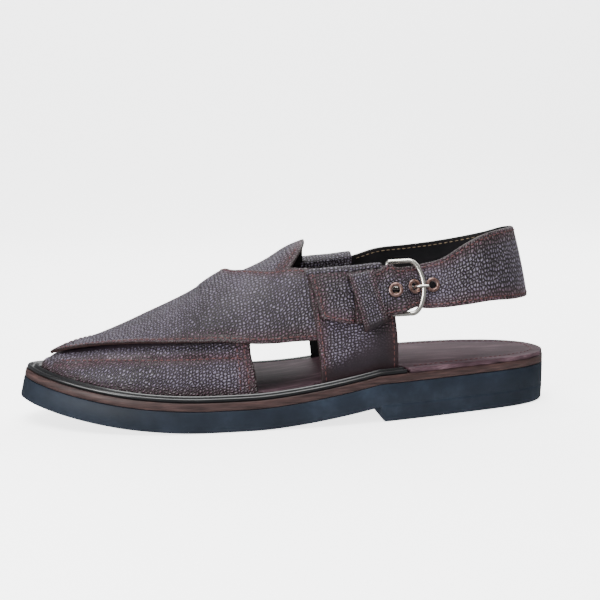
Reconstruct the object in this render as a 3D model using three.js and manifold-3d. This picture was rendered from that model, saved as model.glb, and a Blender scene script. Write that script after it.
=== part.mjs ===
import * as THREE from 'three';
import * as BufferGeometryUtils from 'three/addons/utils/BufferGeometryUtils.js';
import Module from 'manifold-3d';

// A left peshawari chappal: two wide strips cross over the instep, quarters rise beside the ankle and a
// buckled strap runs round the heel. Millimetres. +X runs to the heel, +Y to the inner (big toe) side, +Z up.

const wasm = await Module();
wasm.setup();

// Driving sizes of the sole
const soleLength = 300;
const ballWidth = 97;
const outsoleThickness = 11.6;
const heelWedge = 2.1;
const midsoleThickness = 4.2;
const insoleThickness = 2.3;
const heelHeight = 8.3;
const heelLength = 107;
const toeSpring = 13.4;
const restStart = 0.58;
const restEnd = 0.66;
const edgeBevel = 1.2;
const weltWidth = 6.6;
const weltHeight = 2.6;
const weltEnd = 92;

// Driving sizes of the upper
const wall = 1.8;
const footClear = 3;
const instepRise = 74;
const featherInset = 7.5;
const fit = 0.3;
const lift = 0.3;
const joined = 1;
const ankleHeight = 84;

// Driving sizes of the heel strap and its buckle
const strapThickness = 2.4;
const strapWidth = 25.4;
const strapTop = 100.8;
const heelBreadth = 35;
const eyeletHole = 2.1;
const eyeletBarrel = 2.6;
const eyeletFlange = 3.9;
const eyeletRim = 0.45;
const eyeletPitch = 10.6;
const eyeletMiddle = 87.4;
const frameWire = 1.25;
const frameHalfHeight = 14.2;
const frameCorner = 3;
const hingeAt = 101;
const hingeLevel = 0.836;
const barAt = 82.3;
const prongWire = 0.8;
const prongRing = 1;
const keeperWall = 1.6;

const leatherBrown = { color: 0x3b2a2c, roughness: 0.55, metalness: 0 };

// Small helpers

function mix(a, b, t) {
  return a + (b - a) * t;
}

function clamp01(t) {
  return Math.min(1, Math.max(0, t));
}

function smooth(from, to, value) {
  const t = clamp01((value - from) / (to - from));
  return t * t * (3 - 2 * t);
}

// A smooth curve through the rows of a table, read at one place along the column named key.
function reader(rows, key, column) {
  const xs = rows.map((row) => row[key]);
  const ys = rows.map((row) => row[column]);
  const last = xs.length - 1;
  const steps = xs.slice(1).map((x, i) => (ys[i + 1] - ys[i]) / (x - xs[i]));
  const slopes = xs.map((x, i) => {
    if (i === 0) return steps[0];
    if (i === last) return steps[last - 1];
    const product = steps[i - 1] * steps[i];
    return product <= 0 ? 0 : (2 * product) / (steps[i - 1] + steps[i]);
  });
  return (x) => {
    if (x <= xs[0]) return ys[0];
    if (x >= xs[last]) return ys[last];
    const i = xs.findIndex((value) => value > x) - 1;
    const width = xs[i + 1] - xs[i];
    const t = (x - xs[i]) / width;
    const a = (2 * t - 3) * t * t + 1;
    const b = ((t - 2) * t + 1) * t * width;
    const c = (3 - 2 * t) * t * t;
    const d = (t - 1) * t * t * width;
    return a * ys[i] + b * slopes[i] + c * ys[i + 1] + d * slopes[i + 1];
  };
}

// A closed body from rings of points that all have the same count. Open ends are capped flat.
function skin(rings, ringsClose = false) {
  const count = rings[0].length;
  const positions = rings.flat().flatMap((point) => [point.x, point.y, point.z]);
  const index = [];
  const spans = ringsClose ? rings.length : rings.length - 1;
  for (let i = 0; i < spans; i += 1) {
    const here = i * count;
    const next = ((i + 1) % rings.length) * count;
    for (let j = 0; j < count; j += 1) {
      const k = (j + 1) % count;
      index.push(here + j, next + j, next + k, here + j, next + k, here + k);
    }
  }
  if (!ringsClose) {
    capFaces(rings[0]).forEach(([a, b, c]) => index.push(a, b, c));
    const top = (rings.length - 1) * count;
    capFaces(rings[rings.length - 1]).forEach(([a, b, c]) => index.push(top + a, top + c, top + b));
  }
  return facingOut(indexed(positions, index));
}

// Triangles over one flat ring of points, whatever way the ring lies in space.
function capFaces(ring) {
  const centre = ring.reduce((sum, point) => sum.add(point), new THREE.Vector3()).divideScalar(ring.length);
  const normal = new THREE.Vector3();
  ring.forEach((point, i) => {
    const next = ring[(i + 1) % ring.length];
    normal.add(point.clone().sub(centre).cross(next.clone().sub(centre)));
  });
  normal.normalize();
  const side = Math.abs(normal.x) < 0.9 ? new THREE.Vector3(1, 0, 0) : new THREE.Vector3(0, 1, 0);
  const u = side.cross(normal).normalize();
  const v = normal.clone().cross(u);
  const flat = ring.map((point) => new THREE.Vector2(point.dot(u), point.dot(v)));
  return THREE.ShapeUtils.triangulateShape(flat, []);
}

function indexed(positions, index) {
  const geometry = new THREE.BufferGeometry();
  geometry.setAttribute('position', new THREE.Float32BufferAttribute(positions, 3));
  geometry.setIndex(index);
  return geometry;
}

// Six times the volume that the faces hold, below zero when they point inwards.
function signedVolume(geometry) {
  const place = geometry.getAttribute('position');
  const index = geometry.getIndex();
  const corner = (i) => new THREE.Vector3().fromBufferAttribute(place, index.getX(i));
  let sum = 0;
  for (let i = 0; i < index.count; i += 3) sum += corner(i).dot(corner(i + 1).cross(corner(i + 2)));
  return sum;
}

function facingOut(geometry) {
  if (signedVolume(geometry) < 0) {
    const index = Array.from(geometry.getIndex().array);
    const turned = [];
    for (let i = 0; i < index.length; i += 3) turned.push(index[i], index[i + 2], index[i + 1]);
    geometry.setIndex(turned);
  }
  return geometry;
}

function toSolid(geometry) {
  const bare = geometry.clone();
  bare.deleteAttribute('normal');
  bare.deleteAttribute('uv');
  const merged = BufferGeometryUtils.mergeVertices(bare, 1e-4);
  const vertProperties = new Float32Array(merged.getAttribute('position').array);
  const triVerts = new Uint32Array(merged.getIndex().array);
  return new wasm.Manifold(new wasm.Mesh({ numProp: 3, vertProperties, triVerts }));
}

// Layers that are pressed together leave no pockets between them: only shells that face out are kept.
function pressed(solid) {
  const shells = solid.decompose().filter((shell) => shell.volume() > 0);
  return shells.reduce((all, next) => all.add(next));
}

function toGeometry(solid) {
  const mesh = solid.getMesh();
  return indexed(Array.from(mesh.vertProperties), Array.from(mesh.triVerts));
}

function piece(name, geometry, look) {
  const mesh = new THREE.Mesh(geometry, new THREE.MeshStandardMaterial(look));
  mesh.name = name;
  return mesh;
}

// The sole's plan outline. at runs from the heel (0) to the toe (1), the two sides are shares of the ball width.
const outlineTable = [
  { at: 0.01, outer: 0.11, inner: 0.122 },
  { at: 0.03, outer: 0.182, inner: 0.196 },
  { at: 0.07, outer: 0.25, inner: 0.268 },
  { at: 0.13, outer: 0.308, inner: 0.318 },
  { at: 0.2, outer: 0.36, inner: 0.334 },
  { at: 0.27, outer: 0.41, inner: 0.32 },
  { at: 0.36, outer: 0.464, inner: 0.294 },
  { at: 0.46, outer: 0.495, inner: 0.314 },
  { at: 0.56, outer: 0.508, inner: 0.386 },
  { at: 0.65, outer: 0.513, inner: 0.46 },
  { at: 0.73, outer: 0.501, inner: 0.489 },
  { at: 0.81, outer: 0.456, inner: 0.449 },
  { at: 0.88, outer: 0.371, inner: 0.351 },
  { at: 0.94, outer: 0.258, inner: 0.232 },
  { at: 0.98, outer: 0.142, inner: 0.116 },
];
const toeTipOffset = -0.018;
const outerSide = -1;
const innerSide = 1;

// Dense points of one side of the outline, each with the direction that points out of the sole.
function outlineSide(side) {
  const column = side === outerSide ? 'outer' : 'inner';
  const heel = new THREE.Vector3(0, 0, 0);
  const toe = new THREE.Vector3(soleLength, toeTipOffset * ballWidth, 0);
  const along = (rows, sign, key) =>
    rows.map((row) => new THREE.Vector3(row.at * soleLength, sign * row[key] * ballWidth, 0));
  const back = [...outlineTable].reverse();
  const other = side === outerSide ? 'inner' : 'outer';
  const loop = [heel, ...along(outlineTable, side, column), toe, ...along(back, -side, other)];
  const curve = new THREE.CatmullRomCurve3(loop, true, 'centripetal');
  const samples = 1200;
  const points = [];
  for (let i = 0; i <= samples; i += 1) {
    const t = i / samples;
    const point = curve.getPoint(t);
    const tangent = curve.getTangent(t);
    const out = new THREE.Vector3(tangent.y, -tangent.x, 0).multiplyScalar(-side);
    points.push({ s: point.x, y: point.y, outS: out.x, outY: out.y });
    if (t > 0.25 && point.x < points[points.length - 2].s) break;
  }
  return points;
}

const outline = { [outerSide]: outlineSide(outerSide), [innerSide]: outlineSide(innerSide) };

// A point of the outline at a distance s from the heel's back, moved in by inset.
function rim(side, s, inset) {
  const points = outline[side];
  const reach = clamp01(s / soleLength) * soleLength;
  let i = points.findIndex((point) => point.s >= reach);
  if (i < 1) i = i === 0 ? 1 : points.length - 1;
  const a = points[i - 1];
  const b = points[i];
  const t = clamp01((reach - a.s) / Math.max(b.s - a.s, 1e-9));
  const outS = mix(a.outS, b.outS, t);
  const outY = mix(a.outY, b.outY, t);
  const length = Math.hypot(outS, outY);
  return { s: mix(a.s, b.s, t) - (outS / length) * inset, y: mix(a.y, b.y, t) - (outY / length) * inset };
}

// The sole's underside: level under the heel, an arch, a level rest under the ball, then the toe spring.
function underside(s) {
  const share = s / soleLength;
  if (s < heelLength) return heelHeight;
  if (share < restStart) {
    const t = (restStart * soleLength - s) / (restStart * soleLength - heelLength);
    return heelHeight * t ** 1.5;
  }
  if (share < restEnd) return 0;
  return toeSpring * ((share - restEnd) / (1 - restEnd)) ** 1.8;
}

function springSlope(s) {
  const share = clamp01((s / soleLength - restEnd) / (1 - restEnd));
  return Math.atan(((toeSpring * 1.8) / ((1 - restEnd) * soleLength)) * share ** 0.8);
}

// A point on the shoe: s from the heel, y sideways, height square to the underside.
function onSole(s, y, height) {
  const tilt = springSlope(s);
  const x = soleLength / 2 - s + height * Math.sin(tilt);
  return new THREE.Vector3(x, y, underside(s) + height * Math.cos(tilt));
}

function outsoleAt(s) {
  return outsoleThickness + heelWedge * clamp01(1 - s / (0.6 * soleLength));
}

function midsoleTop(s) {
  return outsoleAt(s) + fit + midsoleThickness;
}

function bedAt(s) {
  return midsoleTop(s) + fit;
}

// Places along the sole, closer together towards both ends.
function stations(count, from, to) {
  const list = [];
  for (let i = 0; i <= count; i += 1) {
    const t = i / count;
    list.push(mix(from, to, mix(t, (1 - Math.cos(Math.PI * t)) / 2, 0.75)));
  }
  return list;
}

// The same places with marks added, and none left closer to a mark than needed.
function marked(even, marks) {
  const apart = 1.2;
  const kept = even.filter((s) => marks.every((mark) => Math.abs(mark - s) > apart));
  const own = marks.filter((mark, i) => marks.every((other, j) => j >= i || Math.abs(mark - other) > fit));
  return [...kept, ...own].sort((a, b) => a - b);
}

// A slab of the sole from its levels, each with an inset and a height as functions of s and side.
function slab(places, levels) {
  const loops = levels.map((level) => {
    const walk = (side) =>
      places.map((s) => {
        const point = rim(side, s, level.inset(s, side));
        return level.place(point.s, point.y);
      });
    return [...walk(outerSide), ...walk(innerSide).reverse()];
  });
  const count = loops[0].length;
  const positions = loops.flat().flatMap((point) => [point.x, point.y, point.z]);
  const index = [];
  for (let i = 0; i < loops.length - 1; i += 1) {
    for (let j = 0; j < count; j += 1) {
      const k = (j + 1) % count;
      const here = i * count;
      const next = here + count;
      index.push(here + j, next + j, next + k, here + j, next + k, here + k);
    }
  }
  const top = (loops.length - 1) * count;
  for (let j = 0; j < places.length - 1; j += 1) {
    const a = j;
    const b = j + 1;
    const c = count - 2 - j;
    const d = count - 1 - j;
    index.push(a, b, c, a, c, d);
    index.push(top + a, top + c, top + b, top + a, top + d, top + c);
  }
  return facingOut(indexed(positions, index));
}

const heelEnd = 0.001 * soleLength;
const toeEnd = 0.999 * soleLength;

function makeOutsole() {
  const level = (inset, height) => ({ inset: () => inset, place: (s, y) => onSole(s, y, height(s)) });
  return slab(solePlaces(), [
    level(edgeBevel, () => 0),
    level(0, () => edgeBevel),
    level(0, (s) => outsoleAt(s)),
  ]);
}

function makeHeelBlock() {
  const top = heelHeight - fit;
  const level = (inset, z) => ({
    inset: () => inset,
    place: (s, y) => new THREE.Vector3(soleLength / 2 - s, y, z),
  });
  return slab(stations(18, heelEnd, heelLength), [
    level(edgeBevel, 0),
    level(fit, edgeBevel),
    level(0, top),
  ]);
}

function makeMidsole() {
  const level = (inset, height) => ({ inset: () => inset, place: (s, y) => onSole(s, y, height(s)) });
  return slab(solePlaces(), [
    level(0.2, (s) => outsoleAt(s) + fit),
    level(0.2, (s) => midsoleTop(s)),
  ]);
}

// The welt's section: a ridge at the edge, a groove and a higher ridge beside the upper.
const weltTable = [
  { across: 0, up: 0 },
  { across: 0, up: 0.62 },
  { across: 0.1, up: 0.85 },
  { across: 0.26, up: 0.82 },
  { across: 0.38, up: 0.45 },
  { across: 0.54, up: 0.45 },
  { across: 0.68, up: 0.95 },
  { across: 0.88, up: 1 },
  { across: 1, up: 0.82 },
  { across: 1, up: 0 },
];

function makeWelt() {
  const half = stations(26, weltEnd, toeEnd);
  const first = featherInset - fit - weltWidth;
  const ring = (side, s) =>
    weltTable.map((row) => {
      const point = rim(side, s, first + row.across * weltWidth);
      return onSole(point.s, point.y, bedAt(point.s) + row.up * weltHeight);
    });
  const rings = [...half.map((s) => ring(outerSide, s)), ...half.map((s) => ring(innerSide, s)).reverse()];
  return skin(rings);
}

// The stretches of each side where the upper stands on the sole, from the heel, in shares of its length.
const footing = {
  [outerSide]: { quarterBack: 0.318, quarterFront: 0.46, stripBack: 0.593 },
  [innerSide]: { quarterBack: 0.323, quarterFront: 0.449, stripBack: 0.593 },
};

// How far the insole keeps in from the edge: full width at the heel, clear of the welt and of the upper's wall.
function insoleInset(s, side) {
  const spots = footing[side];
  const ramp = 2;
  const heelPart = 0.5;
  const weltPart = featherInset;
  const wallPart = wall + fit;
  const quarterFrom = spots.quarterBack * soleLength - footClear;
  const quarterTo = spots.quarterFront * soleLength + footClear;
  const stripFrom = spots.stripBack * soleLength - footClear;
  const welted = clamp01((s - (weltEnd - fit - ramp)) / (ramp - fit));
  const quarter = clamp01((s - quarterFrom + ramp) / ramp) * clamp01((quarterTo + ramp - s) / ramp);
  const strip = clamp01((s - stripFrom + ramp) / ramp);
  return mix(heelPart, weltPart, welted) + wallPart * Math.max(quarter, strip);
}

// Every layer of the sole shares its places, so that the layers' curved faces stay parallel.
function solePlaces() {
  const ramp = 2;
  const marks = [heelLength, restStart * soleLength, restEnd * soleLength];
  marks.push(weltEnd - fit - ramp, weltEnd - 2 * fit);
  [outerSide, innerSide].forEach((side) => {
    const spots = footing[side];
    const from = spots.quarterBack * soleLength - footClear;
    const to = spots.quarterFront * soleLength + footClear;
    const strip = spots.stripBack * soleLength - footClear;
    marks.push(from - ramp, from, to, to + ramp, strip - ramp, strip);
  });
  return marked(stations(34, heelEnd, toeEnd), marks);
}

function makeInsole() {
  const level = (extra, height) => ({
    inset: (s, side) => insoleInset(s, side) + extra,
    place: (s, y) => onSole(s, y, bedAt(s) + height),
  });
  return slab(solePlaces(), [
    level(0, 0),
    level(0, insoleThickness - 0.5),
    level(0.5, insoleThickness),
  ]);
}

// The last that the upper is drawn over. rise is a share of the instep's rise above the sole, ridge the place
// of the highest line as a share of the ball width, round the fullness of the section's shoulders.
const lastTable = [
  { at: 0.2, rise: 1.02, ridge: 0.01, round: 3 },
  { at: 0.36, rise: 1.03, ridge: 0.01, round: 3 },
  { at: 0.42, rise: 1.02, ridge: 0.015, round: 2.9 },
  { at: 0.47, rise: 1, ridge: 0.02, round: 2.7 },
  { at: 0.497, rise: 0.975, ridge: 0.022, round: 2.55 },
  { at: 0.543, rise: 0.884, ridge: 0.026, round: 2.45 },
  { at: 0.583, rise: 0.82, ridge: 0.03, round: 2.4 },
  { at: 0.639, rise: 0.735, ridge: 0.038, round: 2.3 },
  { at: 0.67, rise: 0.67, ridge: 0.04, round: 2.3 },
  { at: 0.728, rise: 0.563, ridge: 0.04, round: 2.2 },
  { at: 0.78, rise: 0.463, ridge: 0.035, round: 2.2 },
  { at: 0.829, rise: 0.36, ridge: 0.025, round: 2.1 },
  { at: 0.875, rise: 0.265, ridge: 0.01, round: 2.1 },
  { at: 0.921, rise: 0.18, ridge: -0.01, round: 2.1 },
  { at: 0.946, rise: 0.125, ridge: -0.015, round: 2 },
  { at: 0.96, rise: 0.075, ridge: -0.018, round: 2 },
];
const riseAt = reader(lastTable, 'at', 'rise');
const ridgeAt = reader(lastTable, 'at', 'ridge');
const roundAt = reader(lastTable, 'at', 'round');
const lastToe = soleLength - featherInset - wall;

// Half widths of the last at its foot, from the outline moved in by the welt and the wall.
function footLine(side) {
  const rows = outline[side].map((point) => ({
    s: point.s - point.outS * (featherInset + wall),
    y: point.y - point.outY * (featherInset + wall),
  }));
  const rising = [];
  rows.forEach((row) => {
    if (!rising.length || row.s > rising[rising.length - 1].s + 0.05) rising.push(row);
  });
  return rising;
}
const footRows = { [outerSide]: footLine(outerSide), [innerSide]: footLine(innerSide) };

function footAt(side, s) {
  const rows = footRows[side];
  const i = rows.findIndex((row) => row.s >= s);
  if (i === 0) return rows[0].y;
  if (i < 0) return rows[rows.length - 1].y;
  return mix(rows[i - 1].y, rows[i].y, (s - rows[i - 1].s) / (rows[i].s - rows[i - 1].s));
}

function toeFade(s) {
  const start = lastTable[lastTable.length - 1].at * soleLength;
  const t = clamp01((s - start) / (lastToe - start));
  return Math.sqrt(Math.max(0, 1 - t * t));
}

function lastRise(s) {
  return instepRise * riseAt(s / soleLength) * toeFade(s);
}

// A point of the last. around runs from 0 at the outer foot line over the ridge at 0.5 to 1 at the inner one.
function lastPoint(s, around) {
  const side = around < 0.5 ? outerSide : innerSide;
  const angle = Math.PI * (around < 0.5 ? around : 1 - around);
  const round = roundAt(s / soleLength);
  const c = Math.max(0, Math.cos(angle));
  const d = Math.sin(angle);
  const reach = (c ** round + d ** round) ** (-1 / round);
  const ridge = ridgeAt(s / soleLength) * ballWidth;
  const y = mix(ridge, footAt(side, s), c * reach);
  return onSole(s, y, bedAt(s) + lastRise(s) * d * reach);
}

function lastNormal(s, around) {
  const step = 0.4;
  const turn = 0.01;
  const inside = Math.min(s, lastToe - 1.2);
  const along = lastPoint(inside + step, around).sub(lastPoint(inside - step, around));
  const low = Math.max(0, around - turn);
  const high = Math.min(1, around + turn);
  const over = lastPoint(inside, high).sub(lastPoint(inside, low));
  const normal = over.cross(along).normalize();
  if (around < 0.02 || around > 0.98) {
    const tilt = springSlope(s);
    const up = new THREE.Vector3(Math.sin(tilt), 0, Math.cos(tilt));
    normal.addScaledVector(up, -normal.dot(up)).normalize();
  }
  return normal;
}

function onLast(s, around, off) {
  return lastPoint(s, around).addScaledVector(lastNormal(s, around), off);
}

// The place around the section where the last has a given share of its rise.
function aroundAt(s, side, share) {
  const round = roundAt(s / soleLength);
  const up = clamp01(share);
  const out = Math.max(0, 1 - up ** round) ** (1 / round);
  const turn = Math.atan2(up, out) / Math.PI;
  return side === outerSide ? turn : 1 - turn;
}

// Edges of the upper's panels. at is a share of the sole's length, side the outer or inner side, and up the
// share of the last's rise there, from the foot line (0) to the ridge (1).
const O = outerSide;
const I = innerSide;
const topStrip = {
  throat: [
    { at: 0.593, side: I, up: 0 },
    { at: 0.597, side: I, up: 0.25 },
    { at: 0.603, side: I, up: 0.55 },
    { at: 0.61, side: I, up: 0.85 },
    { at: 0.613, side: I, up: 1 },
    { at: 0.6, side: O, up: 0.99 },
    { at: 0.57, side: O, up: 0.965 },
    { at: 0.53, side: O, up: 0.91 },
    { at: 0.482, side: O, up: 0.84 },
    { at: 0.44, side: O, up: 0.8 },
  ],
  front: [
    { at: 0.79, side: I, up: 0 },
    { at: 0.81, side: I, up: 0.35 },
    { at: 0.85, side: I, up: 0.75 },
    { at: 0.9, side: I, up: 0.95 },
    { at: 0.952, side: O, up: 0.97 },
    { at: 0.92, side: O, up: 0.86 },
    { at: 0.87, side: O, up: 0.78 },
    { at: 0.775, side: O, up: 0.62 },
    { at: 0.68, side: O, up: 0.5 },
    { at: 0.6, side: O, up: 0.42 },
    { at: 0.53, side: O, up: 0.355 },
    { at: 0.47, side: O, up: 0.32 },
    { at: 0.43, side: O, up: 0.31 },
  ],
};
const underStrip = {
  throat: [
    { at: 0.593, side: O, up: 0 },
    { at: 0.597, side: O, up: 0.2 },
    { at: 0.603, side: O, up: 0.4 },
    { at: 0.57, side: O, up: 0.66 },
    { at: 0.53, side: O, up: 0.8 },
    { at: 0.502, side: O, up: 0.9 },
    { at: 0.482, side: O, up: 0.97 },
    { at: 0.47, side: I, up: 1 },
    { at: 0.47, side: I, up: 0.93 },
    { at: 0.47, side: I, up: 0.84 },
    { at: 0.43, side: I, up: 0.8 },
  ],
  lower: [
    { at: 0.73, side: I, up: 0 },
    { at: 0.7, side: I, up: 0.25 },
    { at: 0.66, side: I, up: 0.4 },
    { at: 0.6, side: I, up: 0.42 },
    { at: 0.53, side: I, up: 0.355 },
    { at: 0.47, side: I, up: 0.32 },
    { at: 0.42, side: I, up: 0.31 },
  ],
};

// A curve in the plane of s and around, through a list of edge points.
function edge(list) {
  const points = list.map((spot) => {
    const s = spot.at * soleLength;
    return new THREE.Vector3(s, aroundAt(s, spot.side, spot.up) * soleLength, 0);
  });
  const curve = new THREE.CatmullRomCurve3(points, false, 'centripetal');
  return (t) => {
    const point = curve.getPointAt(clamp01(t));
    return { s: point.x, around: clamp01(point.y / soleLength) };
  };
}

function line(a, b) {
  return (t) => ({ s: mix(a.s, b.s, t), around: mix(a.around, b.around, t) });
}

// A patch between four edges that meet at their corners.
function patch(low, high, left, right) {
  const blend = (key, u, v) => {
    const across = mix(low(u)[key], high(u)[key], v);
    const along = mix(left(v)[key], right(v)[key], u);
    const corners = mix(mix(low(0)[key], low(1)[key], u), mix(high(0)[key], high(1)[key], u), v);
    return across + along - corners;
  };
  return (u, v) => ({ s: blend('s', u, v), around: clamp01(blend('around', u, v)) });
}

// A closed wall over a patch: its two faces and the cut edge round it.
function panel(region, columns, rows, inner, outer) {
  const rings = [];
  for (let i = 0; i <= columns; i += 1) {
    const ring = [];
    const u = i / columns;
    for (let j = 0; j <= rows; j += 1) {
      const spot = region(u, j / rows);
      ring.push(onLast(spot.s, spot.around, outer(spot)));
    }
    for (let j = rows; j >= 0; j -= 1) {
      const spot = region(u, j / rows);
      ring.push(onLast(spot.s, spot.around, inner(spot)));
    }
    rings.push(ring);
  }
  return sheetBody(rings, rows);
}

function sheetBody(rings, rows) {
  const count = rings[0].length;
  const positions = rings.flat().flatMap((point) => [point.x, point.y, point.z]);
  const index = [];
  for (let i = 0; i < rings.length - 1; i += 1) {
    for (let j = 0; j < count; j += 1) {
      const k = (j + 1) % count;
      const here = i * count;
      const next = here + count;
      index.push(here + j, next + j, next + k, here + j, next + k, here + k);
    }
  }
  [0, rings.length - 1].forEach((end) => {
    for (let j = 0; j < rows; j += 1) {
      const a = end * count + j;
      const b = a + 1;
      const c = end * count + count - 2 - j;
      const d = c + 1;
      if (end === 0) index.push(a, b, c, a, c, d);
      else index.push(a, c, b, a, d, c);
    }
  });
  return facingOut(indexed(positions, index));
}

function makeTopStrip() {
  const throat = edge(topStrip.throat);
  const tip = topStrip.front.findIndex((spot) => spot.at > 0.95);
  const toTip = edge(topStrip.front.slice(0, tip + 1));
  const fromTip = edge(topStrip.front.slice(tip));
  const tipShare = 0.3;
  const front = (t) => (t < tipShare ? toTip(t / tipShare) : fromTip((t - tipShare) / (1 - tipShare)));
  const region = patch(throat, front, line(throat(0), front(0)), line(throat(1), front(1)));
  const raised = ({ s, around }) => smooth(0.44, 0.52, s / soleLength) * smooth(0, 0.16, 1 - around);
  const inner = (spot) => (wall - joined) * raised(spot);
  const outer = (spot) => wall + (wall + lift) * raised(spot);
  return panel(region, 30, 12, inner, outer);
}

// The under strip is drawn round the toe: its rows run from the throat to the toe's tip.
function makeUnderStrip() {
  const throat = edge(underStrip.throat);
  const lower = edge(underStrip.lower);
  const toe = lastToe - 0.3;
  const foot = underStrip.throat[0].at * soleLength;
  const turn = underStrip.lower[0].at * soleLength;
  const toeEdge = (t) => ({ s: toe, around: t });
  const outerFoot = (t) => ({ s: mix(foot, toe, t), around: 0 });
  const innerEdge = (t) => {
    const endShare = 0.1;
    const lowerShare = 0.6;
    if (t < endShare) return line(throat(1), lower(1))(t / endShare);
    if (t < lowerShare) return lower(1 - (t - endShare) / (lowerShare - endShare));
    return { s: mix(turn, toe, (t - lowerShare) / (1 - lowerShare)), around: 1 };
  };
  const region = patch(throat, toeEdge, outerFoot, innerEdge);
  const towardsToe = (v) => Math.sin((v * Math.PI) / 2) ** 0.9;
  return panel((u, v) => region(v, towardsToe(u)), 26, 22, () => 0, () => wall);
}

// The share of the last's rise that lies at a level, a share of the ankle height above the floor.
function upAtLevel(s, level) {
  return clamp01((level * ankleHeight - underside(s) - bedAt(s)) / lastRise(s));
}

function hug(side, s, level, off) {
  return onLast(s, aroundAt(s, side, upAtLevel(s, level)), off);
}

function levelEdge(side, rows) {
  return edge(rows.map((row) => ({ at: row.at, side, up: upAtLevel(row.at * soleLength, row.level) })));
}

// The quarters stand outside the strips' ends, from the foot line to beside the ankle.
const quarters = {
  [outerSide]: {
    front: [
      { at: 0.46, level: 0 },
      { at: 0.468, level: 0.5 },
      { at: 0.476, level: 0.75 },
      { at: 0.482, level: 0.985 },
    ],
    back: [
      { at: 0.318, level: 0 },
      { at: 0.32, level: 0.45 },
      { at: 0.326, level: 0.65 },
      { at: 0.338, level: 1.005 },
    ],
  },
  [innerSide]: {
    front: [
      { at: 0.449, level: 0 },
      { at: 0.456, level: 0.5 },
      { at: 0.464, level: 0.75 },
      { at: 0.472, level: 0.98 },
    ],
    back: [
      { at: 0.323, level: 0 },
      { at: 0.328, level: 0.4 },
      { at: 0.345, level: 0.7 },
      { at: 0.37, level: 1.02 },
    ],
  },
};

function makeQuarter(side) {
  const front = levelEdge(side, quarters[side].front);
  const back = levelEdge(side, quarters[side].back);
  const region = patch(front, back, line(front(0), back(0)), line(front(1), back(1)));
  const raised = ({ around }) => smooth(0.01, 0.09, side === outerSide ? around : 1 - around);
  const inner = (spot) => (wall - joined) * raised(spot);
  const outer = (spot) => wall + wall * raised(spot);
  return panel(region, 10, 7, inner, outer);
}

// The bands that hold the strap: folded over the outer quarter's top, and sewn on outside the inner quarter.
const bands = {
  [outerSide]: {
    low: [
      { at: 0.461, level: 0.665 },
      { at: 0.4, level: 0.63 },
      { at: 0.343, level: 0.65 },
    ],
    high: [
      { at: 0.482, level: 0.985 },
      { at: 0.41, level: 1 },
      { at: 0.341, level: 1.005 },
    ],
  },
  [innerSide]: {
    low: [
      { at: 0.459, level: 0.66 },
      { at: 0.41, level: 0.665 },
      { at: 0.37, level: 0.67 },
    ],
    high: [
      { at: 0.472, level: 0.98 },
      { at: 0.42, level: 1 },
      { at: 0.37, level: 1.02 },
    ],
  },
};

function makeOuterBand() {
  const low = levelEdge(outerSide, bands[outerSide].low);
  const high = levelEdge(outerSide, bands[outerSide].high);
  const region = patch(low, high, line(low(0), high(0)), line(low(1), high(1)));
  return panel(region, 8, 5, () => 2 * wall - joined, () => 3 * wall);
}

// The inner band leaves room for the strap's end and meets the quarter along its front edge.
const pocketFront = 0.449 * soleLength;
function makeInnerBand() {
  const low = levelEdge(innerSide, bands[innerSide].low);
  const high = levelEdge(innerSide, bands[innerSide].high);
  const region = patch(low, high, line(low(0), high(0)), line(low(1), high(1)));
  const pocket = 2 * wall + strapThickness + 4 * fit;
  const inner = ({ s }) => mix(pocket, 2 * wall - joined, smooth(pocketFront, pocketFront + 2, s));
  return panel(region, 10, 5, inner, () => pocket + wall);
}

// The heel strap's free stretch. at and out place its middle line, as shares of the sole's length and of the
// heel's breadth; high and low are its edges as shares of the strap's top; lean is how far the top tips in.
const strapTable = [
  { at: 0.315, out: 0.77, high: 0.868, low: 0.57, lean: 2.6 },
  { at: 0.25, out: 0.83, high: 0.883, low: 0.572, lean: 2.4 },
  { at: 0.19, out: 0.87, high: 0.9, low: 0.576, lean: 2.4 },
  { at: 0.138, out: 0.8, high: 0.925, low: 0.58, lean: 2.8 },
  { at: 0.093, out: 0.62, high: 0.956, low: 0.587, lean: 3.8 },
  { at: 0.064, out: 0.33, high: 0.988, low: 0.594, lean: 4.5 },
  { at: 0.0545, out: 0.03, high: 1, low: 0.6, lean: 4.6 },
  { at: 0.064, out: -0.29, high: 1, low: 0.606, lean: 4.4 },
  { at: 0.096, out: -0.6, high: 1, low: 0.61, lean: 3.8 },
  { at: 0.15, out: -0.85, high: 0.975, low: 0.615, lean: 2.8 },
  { at: 0.19, out: -0.945, high: 0.93, low: 0.605, lean: 2.4 },
  { at: 0.24, out: -0.985, high: 0.85, low: 0.594, lean: 2.5 },
  { at: 0.27, out: -0.98, high: 0.83, low: 0.594, lean: 2.6 },
  { at: 0.288, out: -0.985, high: 0.818, low: 0.603, lean: 2.7 },
  { at: 0.304, out: -1.04, high: 0.816, low: 0.594, lean: 2.9 },
  { at: 0.32, out: -1.115, high: 0.818, low: 0.58, lean: 3.2 },
];
const strapPocket = [0.438, 0.416, 0.393, 0.37];
const strapTail = [
  { at: 0.337, drop: 0, width: 1 },
  { at: 0.36, drop: 0.016, width: 0.925 },
  { at: 0.385, drop: 0.032, width: 0.915 },
  { at: 0.403, drop: 0.042, width: 0.9 },
];

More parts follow.
